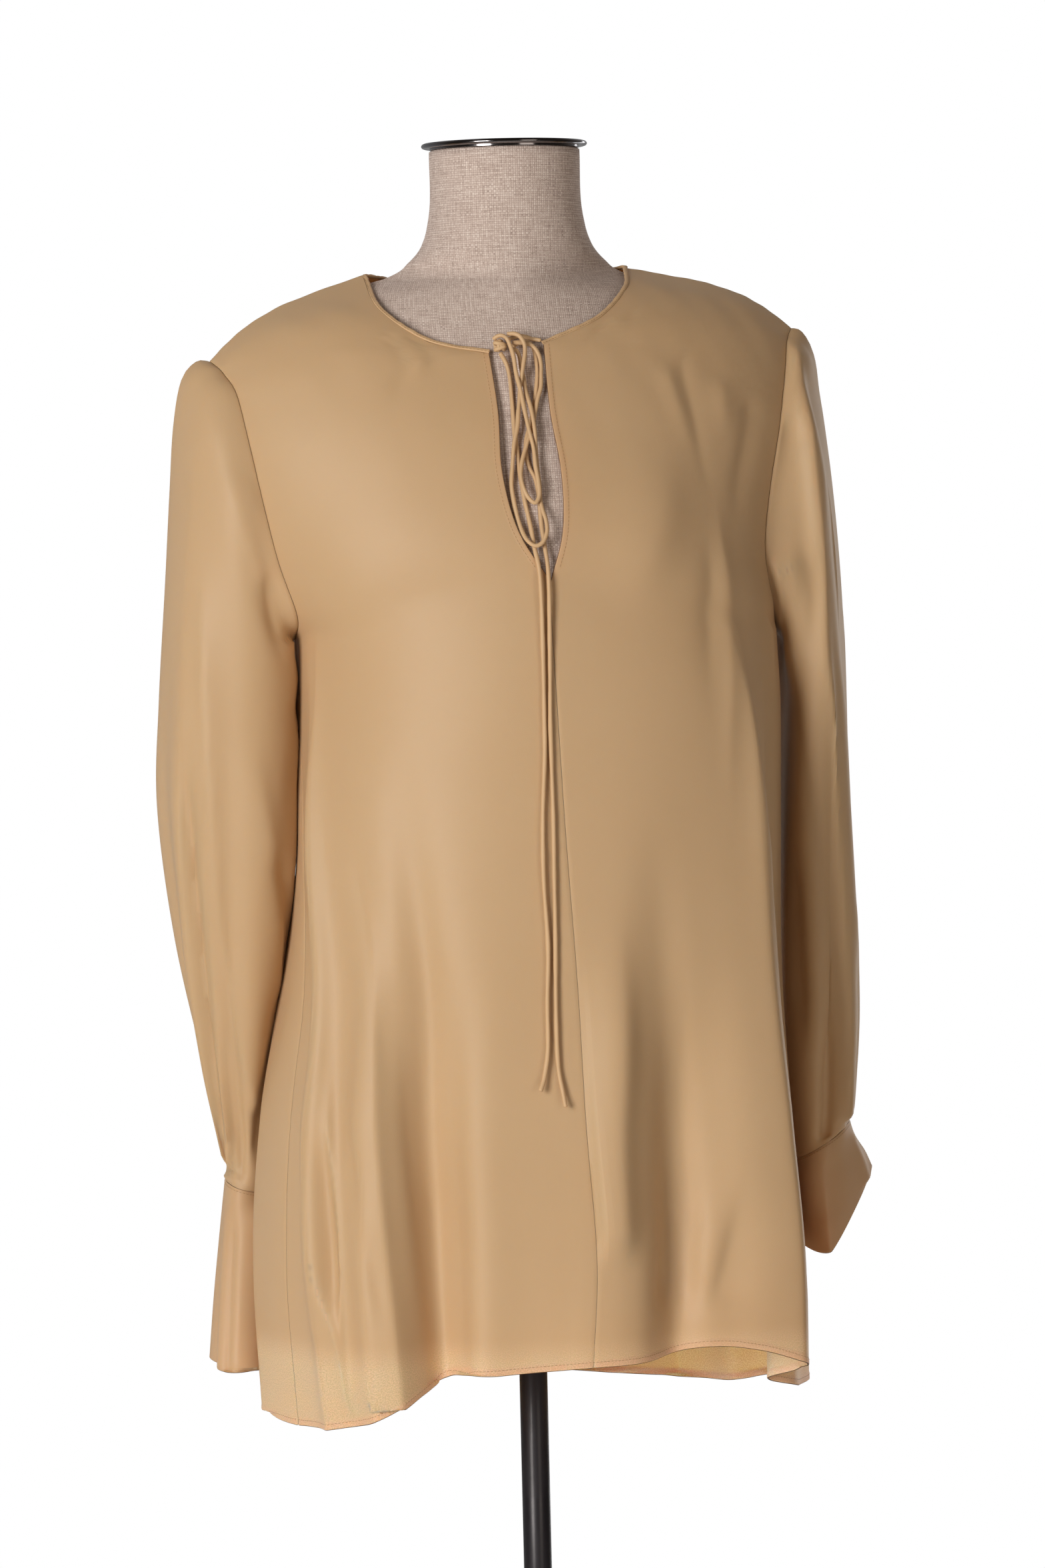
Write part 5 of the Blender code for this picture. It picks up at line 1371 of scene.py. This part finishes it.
def shell(piece):
    """Points, faces, corner UVs and finish numbers of the closed cloth of one piece."""
    members = PIECES[piece]
    stacked = np.concatenate([place_of[m].ravel() for m in members])
    _, first, local = np.unique(stacked, return_index=True, return_inverse=True)
    local = local.reshape(-1)

    def gather(values):
        return np.concatenate([values[m].reshape(-1, *values[m].shape[2:]) for m in members])[first]

    middle, outer, inner, bulge = (
        gather({m: getattr(dressed[m], field) for m in members})
        for field in ("middle", "outer", "inner", "bulge"))
    normal, sewn = gather(normal_of), gather(sewn_of)
    quads, uvs, at = [], [], 0
    for m in members:
        shape = place_of[m].shape
        index = local[at:at + place_of[m].size].reshape(shape)
        at += place_of[m].size
        faces = grid_quads(wrapped(grids[m], index))
        corner = numbered_quads(dressed[m].uv.shape)
        if grids[m].flip:
            faces, corner = faces[:, ::-1], corner[:, ::-1]
        quads.append(faces)
        uvs.append(dressed[m].uv.reshape(-1, 2)[corner])
    quads = np.concatenate(quads)
    uvs = np.concatenate(uvs)
    vertex_uv = np.zeros((len(middle), 2))
    vertex_uv[quads.ravel()] = uvs.reshape(-1, 2)
    edges = rim_edges(quads)
    away = np.zeros_like(middle)
    for a, b in edges:
        way = np.cross(middle[b] - middle[a], normal[a])
        way /= max(np.linalg.norm(way), 1e-9)
        away[a] += way
        away[b] += way
    on_rim = sorted({v for edge in edges for v in edge})
    away[on_rim] /= np.maximum(np.linalg.norm(away[on_rim], axis=1, keepdims=True), 1e-9)
    hair = away * np.where(sewn, SEAM_HAIR, 0)[:, None]
    outer = outer - hair
    inner = inner - hair
    rim = (middle - hair + away * bulge[:, None])[on_rim]
    count = len(middle)
    rim_of = {v: 2 * count + k for k, v in enumerate(on_rim)}
    faces = quads.tolist() + (quads[:, ::-1] + count).tolist()
    corner_uv = [uvs.reshape(-1, 2), uvs[:, ::-1].reshape(-1, 2)]
    which = [0] * len(quads) + [1] * len(quads)
    # the rim faces take the third finish, painted dark: shade at hems and the slit, a dark joint at seams
    for a, b in edges:
        faces += [[b, a, rim_of[a], rim_of[b]], [rim_of[b], rim_of[a], a + count, b + count]]
        corner_uv.append(vertex_uv[[b, a, a, b, b, a, a, b]])
        which += [2, 2]
    return np.concatenate([outer, inner, rim]), faces, np.concatenate(corner_uv), which


def cut_size(piece):
    """Width and length of the flat cut, and its area, in metres."""
    width, length, area = 0, 0, 0
    for member in PIECES[piece]:
        grid = grids[member]
        points = wrapped(grid, dressed[member].middle)
        twice = face_areas(points.reshape(-1, 3), numbered_quads(points.shape))
        area += np.linalg.norm(twice, axis=1).sum() / 2
        width += run_along(points, 1)[:, -1].max()
        length = max(length, run_along(points, 0)[-1].max())
    return width * MM, length * MM, area * MM * MM


cloth_pieces = {}
for name in PIECES:
    points, faces, corner_uv, which = shell(name)
    face = CREPE_FACE if name in ("front_left", "front_right", "back") else CREPE_ARM
    # third finish: the rims' dark paint, painted shade at hems and the slit and a dark joint at seams
    piece = mesh_piece(name + "_cloth", points, faces, corner_uv, [face, CREPE_REVERSE, RIM_SEAM_AND_SHADE], which)
    cloth_pieces[name] = seat(piece, "crepe", name)
    print(f"{name}_cloth: {len(faces)} faces")

# %% [markdown]
# ## The neck binding
# A bias strip is folded over the raw neckline and stitched through: a narrow roll, 3 mm wide, a
# little pulled by its stitches. It is swept round the neckline from one corner of the keyhole to the
# other, on the same points and normals as the cloth below it, with a flattened section.

# %% The neck binding
BINDING_STEP = 1.5
BINDING_PULL = (0.04, 0.13)  # how much the stitches change its width and its height
BINDING_SECTION = (
    (0.05, 0.50), (0.45, 0.86), (1.00, 0.92), (1.60, 1.00), (2.30, 0.92), (2.85, 0.62),
    (3.10, 0.10), (2.90, -0.42), (2.20, -0.72), (1.20, -0.74), (0.40, -0.60), (0.00, -0.10),
)


def neckline():
    """Points and normals of the neckline, from the wearer's right corner round to the left one."""
    path, normals = [], []
    for part, backwards in (("front_right", 0), ("back_right", 1), ("back_left", 0), ("front_left", 1)):
        grid = grids[part]
        first = NECK_ROW if part.startswith("front") else BACK_NECK_ROW
        rows = np.flatnonzero(grid.at >= first)
        rows = rows[::-1] if backwards else rows
        rows = rows if not path else rows[1:]
        path.append(grid.points[rows, 0])
        normals.append(normal_of[part][rows, 0])
    return np.concatenate(path), np.concatenate(normals)


def make_binding():
    """The binding, and the line of its stitches."""
    rough, rough_normals = neckline()
    path, length = even_path(rough, BINDING_STEP)
    run = length_along(rough)
    at = np.linspace(0, run[-1], len(path))
    normals = np.stack([np.interp(at, run, rough_normals[:, k]) for k in range(3)], axis=1)
    along = np.gradient(path, axis=0)
    off = unit(np.cross(along, normals))
    normals = unit(np.cross(off, along))
    pull = waves(path, (4.6, 6.1, 9.0), 21, (1, 1, 0.4))
    section = np.array(BINDING_SECTION)
    wide = section[None, :, 0] * (1 + BINDING_PULL[0] * pull[:, None])
    high = section[None, :, 1] * (1 + BINDING_PULL[1] * pull[:, None])
    high = high + 0.10 * waves(path, (12, 19), 22)[:, None]
    rings = path[:, None] + off[:, None] * wide[:, :, None] + normals[:, None] * high[:, :, None]
    tips = rings[[0, -1]].mean(axis=1)
    points, faces, uv = tube_mesh(rings, tips)
    piece = mesh_piece("neck_binding_made", points, faces, uv, [CREPE_TRIM])
    seat(piece, "crepe", "neck_binding")
    print(f"binding: {length:.0f} mm round the neck")
    return piece, path + off * 0.8 + normals * 1.0


binding, binding_line = make_binding()

# %% [markdown]
# ## Stitches
# Straight machine stitches hold the hems, the keyhole's edge, the binding and the cuff seams: about
# four to the centimetre, each a short bead of thread sunk in the cloth. One Geometry Nodes tree
# makes them all: it spaces points evenly along a line, lays a bead along the line's direction at
# each, and turns the result into one real mesh. A tree fits because a stitch is one shape repeated.

# %% A tree of stitches
STITCH_PITCH = 2.5
STITCH_LENGTH = 2.0
STITCH_THICK = 0.32


def stitch_tree():
    """Beads along the curve that is given, with named sizes and a little seeded unevenness."""
    tree = bpy.data.node_groups.new("stitches_along_a_line", "GeometryNodeTree")
    face = tree.interface
    face.new_socket("Geometry", in_out="INPUT", socket_type="NodeSocketGeometry")
    for label, value in (("Pitch", STITCH_PITCH), ("Length", STITCH_LENGTH), ("Thickness", STITCH_THICK)):
        socket = face.new_socket(label, in_out="INPUT", socket_type="NodeSocketFloat")
        socket.default_value = value * MM
    face.new_socket("Thread", in_out="INPUT", socket_type="NodeSocketMaterial")
    face.new_socket("Geometry", in_out="OUTPUT", socket_type="NodeSocketGeometry")
    given = add(tree, "NodeGroupInput").outputs
    line = add(tree, "GeometryNodeMeshToCurve", Mesh=given["Geometry"])
    spaced = add(
        tree, "GeometryNodeResampleCurve", {"mode": "LENGTH"}, Curve=line.outputs[0], Length=given["Pitch"],
    )
    bead = add(tree, "GeometryNodeMeshUVSphere", Segments=6, Rings=4, Radius=0.5)
    size = add(tree, "ShaderNodeCombineXYZ", X=given["Thickness"], Y=given["Thickness"], Z=given["Length"])
    shaped = add(tree, "GeometryNodeTransform", Geometry=bead.outputs["Mesh"], Scale=size.outputs[0])
    tangent = add(tree, "GeometryNodeInputTangent")
    jitter = add(
        tree, "FunctionNodeRandomValue", {"data_type": "FLOAT_VECTOR"},
        in0=(-0.07, -0.07, -0.07), in1=(0.07, 0.07, 0.07), Seed=7,
    )
    way = add(
        tree, "ShaderNodeVectorMath", {"operation": "ADD"}, in0=tangent.outputs[0], in1=jitter.outputs[0],
    )
    turned = add(tree, "FunctionNodeAlignRotationToVector", {"axis": "Z"}, Vector=way.outputs[0])
    laid = add(
        tree, "GeometryNodeInstanceOnPoints", Points=spaced.outputs[0],
        Instance=shaped.outputs[0], Rotation=turned.outputs[0],
    )
    real = add(tree, "GeometryNodeRealizeInstances", Geometry=laid.outputs[0])
    painted = add(tree, "GeometryNodeSetMaterial", Geometry=real.outputs[0], Material=given["Thread"])
    add(tree, "NodeGroupOutput", Geometry=painted.outputs[0])
    return tree


STITCH_TREE = stitch_tree()


def sew(name, lines, thread, slot):
    """One mesh of stitches along several lines, given in millimetres."""
    points = np.concatenate(lines)
    edges, at = [], 0
    for line in lines:
        edges += [(at + k, at + k + 1) for k in range(len(line) - 1)]
        at += len(line)
    data = bpy.data.meshes.new(name + "_guide")
    data.from_pydata((points * MM).tolist(), edges, [])
    guide = new_object(name + "_guide", data)
    live = guide.modifiers.new("stitches", "NODES")
    live.node_group = STITCH_TREE
    keys = {s.name: s.identifier for s in STITCH_TREE.interface.items_tree if s.in_out == "INPUT"}
    live[keys["Thread"]] = thread
    made = bpy.data.meshes.new_from_object(guide.evaluated_get(bpy.context.evaluated_depsgraph_get()))
    made.name = name
    bpy.data.objects.remove(guide)
    made.shade_smooth()
    print(f"{name}: {len(made.polygons)} faces")
    return seat(new_object(name, made), slot)


def inset_line(name, edge, distance, rows=slice(None)):
    """A line on the outer face of a grid, this far inside one of its edges."""
    outer = dressed[name].outer
    if edge in ("low", "high"):
        outer = wrapped(grids[name], outer).transpose(1, 0, 2)
    outer = outer[rows]
    if edge in ("high", "far"):
        outer = outer[:, ::-1]
    run = run_along(outer, 1)
    return np.array([
        [np.interp(distance, r, p[:, k]) for k in range(3)] for r, p in zip(run, outer)])


HEM_STITCH = 3.5
KEYHOLE_STITCH = 3.4
CUFF_STITCH = 2.0
front_rows = grids["front_left"].at
slit_rows = np.flatnonzero((front_rows >= KEYHOLE_ROW + 0.25) & (front_rows <= NECK_ROW))
slits = {n: inset_line(n, "near", KEYHOLE_STITCH, slit_rows) for n in ("front_left", "front_right")}
trims = {"back": [binding, sew("binding_stitches", [binding_line], SILK_THREAD, "crepe")]}
for name in ("front_left", "front_right", "back", "cuff_left", "cuff_right"):
    distance = CUFF_STITCH if name.startswith("cuff") else HEM_STITCH
    lines = [inset_line(member, "low", distance) for member in PIECES[name]]
    lines += [slits[name]] if name in slits else []
    trims.setdefault(name, []).append(sew(name + "_stitches", lines, SILK_THREAD, "crepe"))

# %% [markdown]
# ## The flat size of each cut piece
# For each cut piece its flat width, length and area are printed. The area is measured on the
# middle of the cloth, where it neither stretches nor shrinks.

# %% Print the cut sizes
for name, piece in cloth_pieces.items():
    width, length, area = cut_size(name)
    print(f"{name}: cut {width * 1000:.0f} x {length * 1000:.0f} mm, area {area:.4f} m2")

# %% [markdown]
# ## The dress form
# The form is a smooth padded body without limbs, covered in linen. Its levels are superellipses:
# half a width, a reach to the front and one to the back, and how square the outline is. A curve
# through the levels gives it as many rings as it needs. A seam runs round the foot of the neck,
# where the neck's own piece of linen is sewn on; there the surface dips.

# %% Levels of the form, in millimetres
FORM_BOTTOM = 700.0
FORM_TOP = 1494.2
FORM_TABLE_TOP = 1496.1
Level = namedtuple("Level", "z half_width front back across sides")
FORM = (
    Level(FORM_BOTTOM, 148, 102, 98, 2.2, 2.2),
    Level(706, 151, 105, 101, 2.2, 2.2),
    Level(760, 156, 109, 107, 2.2, 2.2),
    Level(850, 153, 109, 109, 2.2, 2.2),
    Level(940, 139, 100, 101, 2.2, 2.2),
    Level(1040, 119, 88, 86, 2.2, 2.2),
    Level(1120, 130, 104, 94, 2.2, 2.2),
    Level(1180, 142, 117, 100, 2.2, 2.2),
    Level(1220, 150, 117, 101, 2.1, 2.1),
    Level(1260, 156, 111, 99, 2.0, 2.0),
    Level(1300, 165, 99, 93, 1.95, 1.75),
    Level(1335, 173, 87, 85, 1.9, 1.4),
    Level(1360, 176, 76, 76, 1.8, 1.15),
    Level(1374, 173, 69, 70, 1.7, 0.95),
    Level(1385, 160, 64, 65, 1.6, 0.9),
    Level(1393, 143, 61, 62, 1.6, 0.85),
    Level(1400, 122, 58.5, 59.5, 1.6, 0.85),
    Level(1406, 99, 56.5, 57, 1.65, 0.82),
    Level(1410, 84, 55, 55, 1.7, 0.85),
    Level(1414, 74.5, 53.5, 53.5, 1.75, 1.0),
    Level(1420, 67.5, 52.5, 52.5, 1.8, 1.3),
    Level(1427, 60.5, 51.8, 52, 1.9, 1.8),
    Level(1436, 55.5, 51.3, 51.5, 2.0, 2.0),
    Level(1448, 52.5, 51, 51, 2.0, 2.0),
    Level(FORM_TABLE_TOP, 50.6, 50.6, 50.6, 2.0, 2.0),
)
print(f"form: {len(FORM)} levels, {FORM_TOP - FORM_BOTTOM:.0f} mm high")

# %% The linen body
FORM_AROUND = 144
FORM_RINGS = ((FORM_BOTTOM, 1300, 76), (1300, 1380, 22), (1380, 1432, 53), (1432, FORM_TOP, 14))
FORM_EASE = 1.004            # how far the curve may pass the straight lines between levels
FORM_ENDS = ((0, FORM_BOTTOM, 0.9, True), (-1, FORM_TOP + 0.9, 0.97, False))
NECK_SEAM = (1407.5, 4.5)    # its height in front, and how much higher it runs behind
NECK_SEAM_DIP = 0.7
NECK_SEAM_REACH = 1.3


def make_form():
    """The closed linen body, with its neck seam."""
    table = np.array([tuple(level) for level in FORM])
    heights = np.unique(np.concatenate([np.linspace(*part) for part in FORM_RINGS]))
    level = np.stack([np.interp(heights, table[:, 0], table[:, k]) for k in range(1, 6)], axis=1)
    level = np.minimum(level * FORM_EASE, smooth(table[:, 0], table[:, 1:], heights))
    turn = np.linspace(-math.pi, math.pi, FORM_AROUND + 1)
    x = level[:, 0:1] * rounded(np.sin(turn)[None, :], level[:, 3:4])
    ahead = rounded(np.cos(turn)[None, :], level[:, 4:5])
    y = -ahead * np.where(ahead > 0, level[:, 1:2], level[:, 2:3])
    points = np.stack([x, y, np.broadcast_to(heights[:, None], x.shape)], axis=2)
    away = unit(np.stack([x, y, 0 * x], axis=2))
    seam_height = NECK_SEAM[0] + NECK_SEAM[1] * (1 - np.cos(turn)) / 2
    off_seam = (heights[:, None] - seam_height[None, :]) / NECK_SEAM_REACH
    dip = NECK_SEAM_DIP * np.exp(-off_seam**2)
    points = points - away * dip[:, :, None]
    run = run_along(points, 1)
    rise = run_along(points, 0).mean(axis=1)
    uv = np.stack(np.broadcast_arrays(run - run[:, [FORM_AROUND // 2]], rise[:, None]), axis=2) * MM
    index = np.arange(points[:, :-1].shape[0] * FORM_AROUND).reshape(-1, FORM_AROUND)
    closed = np.concatenate([index, index[:, :1]], axis=1)
    quads = grid_quads(closed)
    corner_uv = uv.reshape(-1, 2)[numbered_quads(uv.shape)]
    flat = points[:, :-1].reshape(-1, 3)
    ends, ends_uv, extra = [], [], []
    for ring, centre_z, inset, turned in FORM_ENDS:
        edge = closed[ring]
        base = len(flat) + len(extra)
        middle = flat[edge[:-1]].mean(axis=0)
        inner = middle + (flat[edge[:-1]] - middle) * inset
        inner[:, 2] = centre_z
        extra += [*inner, (*middle[:2], centre_z)]
        ring_in = np.append(np.arange(base, base + FORM_AROUND), base)
        for j in range(FORM_AROUND):
            quad = [edge[j], edge[j + 1], ring_in[j + 1], ring_in[j]]
            fan = [ring_in[j], ring_in[j + 1], base + FORM_AROUND]
            ends += [quad[::-1], fan[::-1]] if turned else [quad, fan]
    all_points = np.concatenate([flat, np.array(extra)])
    for face in ends:
        ends_uv.append(all_points[face][:, :2] * MM)
    uvs = np.concatenate([corner_uv.reshape(-1, 2), *ends_uv])
    piece = mesh_piece("linen_form", all_points, quads.tolist() + ends, uvs, [LINEN])
    seat(piece, "linen", "form_torso")
    print(f"form: {len(quads) + len(ends)} faces")


make_form()

# %% [markdown]
# ## Cap, pole and base
# These were turned or rolled on a lathe, so they are spun from a profile of radius and height. The
# cap is a thin pressed disc with a rolled rim over a collar that closes the neck. Edges are rounded
# off, because a real edge always catches a line of light.

# %% Spin a profile
SPUN_SIDES = 96
CORNER_POINTS = 5


def spun(name, profile, finish, slot, *replaced):
    """A closed solid of revolution about the upright axis; the profile runs from bottom to top."""
    turn = np.linspace(0, 2 * math.pi, SPUN_SIDES, endpoint=False)
    rings = np.array([[(r * math.cos(a), r * math.sin(a), z) for a in turn] for r, z in profile[1:-1]])
    tips = np.array([(0, 0, profile[0][1]), (0, 0, profile[-1][1])])
    points, faces, uv = tube_mesh(rings, tips)
    faces = [face[::-1] for face in faces]
    piece = mesh_piece(name, points, faces, uv, [finish], sharp=35)
    print(f"{name}: {len(faces)} faces")
    return seat(piece, slot, *replaced)


def rounded_corner(radius, height, size, way):
    """Profile points of a rounded edge: way is 1 for an upper edge and -1 for a lower one."""
    angles = np.linspace(0, math.pi / 2, CORNER_POINTS)[::way]
    return [
        (radius - size + size * math.cos(a), height - way * size + way * size * math.sin(a))
        for a in angles]


CAP = (
    (0, 1495.4), (49.6, 1495.4), (50.2, 1495.5), (50.2, 1496.5), (52.5, 1496.5), (54.2, 1496.6),
    (55.2, 1497.0), (55.75, 1497.8), (55.75, 1498.6), (55.3, 1499.3), (54.4, 1499.8),
    (53.0, 1499.95), (51.5, 1499.7), (50.6, 1499.5), (30, 1499.75), (0, 1499.85),
)
spun("neck_cap_plate", CAP, BLACK_CHROME, "cap_metal", "neck_cap")
POLE = (
    (0, 8.3), (9.3, 8.3), (9.5, 8.6), (9.5, 200), (9.5, 450), (9.5, 699.4), (9.3, 699.7), (0, 699.7))
spun("pole_tube", POLE, GUNMETAL_GLOSS, "stand_metal", "pole")
BASE = ((0, 0), *rounded_corner(150, 0, 1.2, -1), *rounded_corner(150, 8, 2.2, 1), (0, 8))
spun("base_disc", BASE, GUNMETAL_GLOSS, "stand_metal", "base_plate")

# %% [markdown]
# ## Studio
# A pale floor stands under the form, and the room is white to the camera. Light comes from a large
# soft source high at the wearer's right, with a weak fill from the other side, so that folds turn
# from light to shade across the body. A tall strip behind the left edges the pole and the sleeve,
# and a faint low panel stands in for the light that a floor throws up under the hem.

# %% Floor, backdrop and light
FLOOR_RADIUS = 1.5
FLOOR_SIDES = 96
FLOOR_DROP = 0.0004
ROOM_LIGHT = 0.12
BACKDROP_LIGHT = 0.85
GLOSS_SHARE = 0.3           # of the room, in reflections: cloth fibres hide most of it at the rims
Light = namedtuple("Light", "name place aim size watts tint")
LIGHTS = (
    Light("key_softbox", (-2.5, -2.9, 1.5), (0, 0, 1.0), (1.3, 1.7), 118, "#fff9f2"),
    Light("fill_panel", (1.6, -3.4, 1.4), (0, 0, 1.0), (1.4, 2.0), 18, "#fff0e0"),
    Light("edge_strip", (1.5, 1.6, 1.1), (0, 0, 1.0), (0.35, 1.9), 6, "#ffffff"),
    Light("floor_bounce", (0.2, -1.5, 0.2), (0.05, 0.05, 0.72), (1.6, 0.5), 1.2, "#fff4e6"),
)


def make_floor():
    """A round matt floor, a hair below the base."""
    angle = np.linspace(0, 2 * math.pi, FLOOR_SIDES, endpoint=False)
    x, y = np.cos(angle) * FLOOR_RADIUS, np.sin(angle) * FLOOR_RADIUS
    ring = np.stack([x, y, 0 * angle - FLOOR_DROP], axis=1)
    data = bpy.data.meshes.new("floor")
    data.from_pydata(ring.tolist(), [], [list(range(FLOOR_SIDES))])
    paint, tree, shader = blank("matt_floor_paint")
    fill(tree, shader, Base_Color=colour("#e9e8e6"), Roughness=0.7)
    data.materials.append(paint)
    new_object("floor", data)


def make_lights():
    """Soft area lights, each turned to its aim."""
    for name, place, aim, size, watts, tint in LIGHTS:
        data = bpy.data.lights.new(name, "AREA")
        data.shape = "RECTANGLE"
        data.size, data.size_y = size
        data.energy = watts
        data.color = colour(tint)[:3]
        lamp = new_object(name, data)
        lamp.location = place
        lamp.rotation_euler = (Vector(aim) - Vector(place)).to_track_quat("-Z", "Y").to_euler()


def make_room():
    """White to the camera; as a light, a lit white backdrop behind and a grey room before it."""
    world = bpy.data.worlds.new("white_room")
    bpy.context.scene.world = world
    world.use_nodes = True
    tree = world.node_tree
    tree.nodes.clear()
    way = add(tree, "ShaderNodeTexCoord").outputs["Generated"]
    behind = add(tree, "ShaderNodeSeparateXYZ", in0=way).outputs["Y"]
    light = mapped(tree, behind, -0.1, 0.8, ROOM_LIGHT, BACKDROP_LIGHT, "SMOOTHSTEP")
    rays = add(tree, "ShaderNodeLightPath").outputs
    soft = mapped(tree, rays["Is Glossy Ray"], 0.0, 1.0, 1.0, GLOSS_SHARE)
    lit = math_node(tree, "MULTIPLY", light, soft)
    seen = rays["Is Camera Ray"]
    strength = add(tree, "ShaderNodeMix", {"data_type": "FLOAT"}, in0=seen, in2=lit, in3=1.0)
    white = math_node(tree, "MAXIMUM", mapped(tree, behind, -0.1, 0.8, 0.0, 1.0), seen)
    tint = mix(tree, white, colour("#ffe8d2"), colour("#ffffff"))
    room = add(tree, "ShaderNodeBackground", Color=tint, Strength=strength.outputs[0])
    add(tree, "ShaderNodeOutputWorld", Surface=room.outputs[0])
    bpy.context.scene.view_settings.view_transform = "Standard"


make_floor()
make_lights()
make_room()
print("lights:", [light.name for light in LIGHTS])
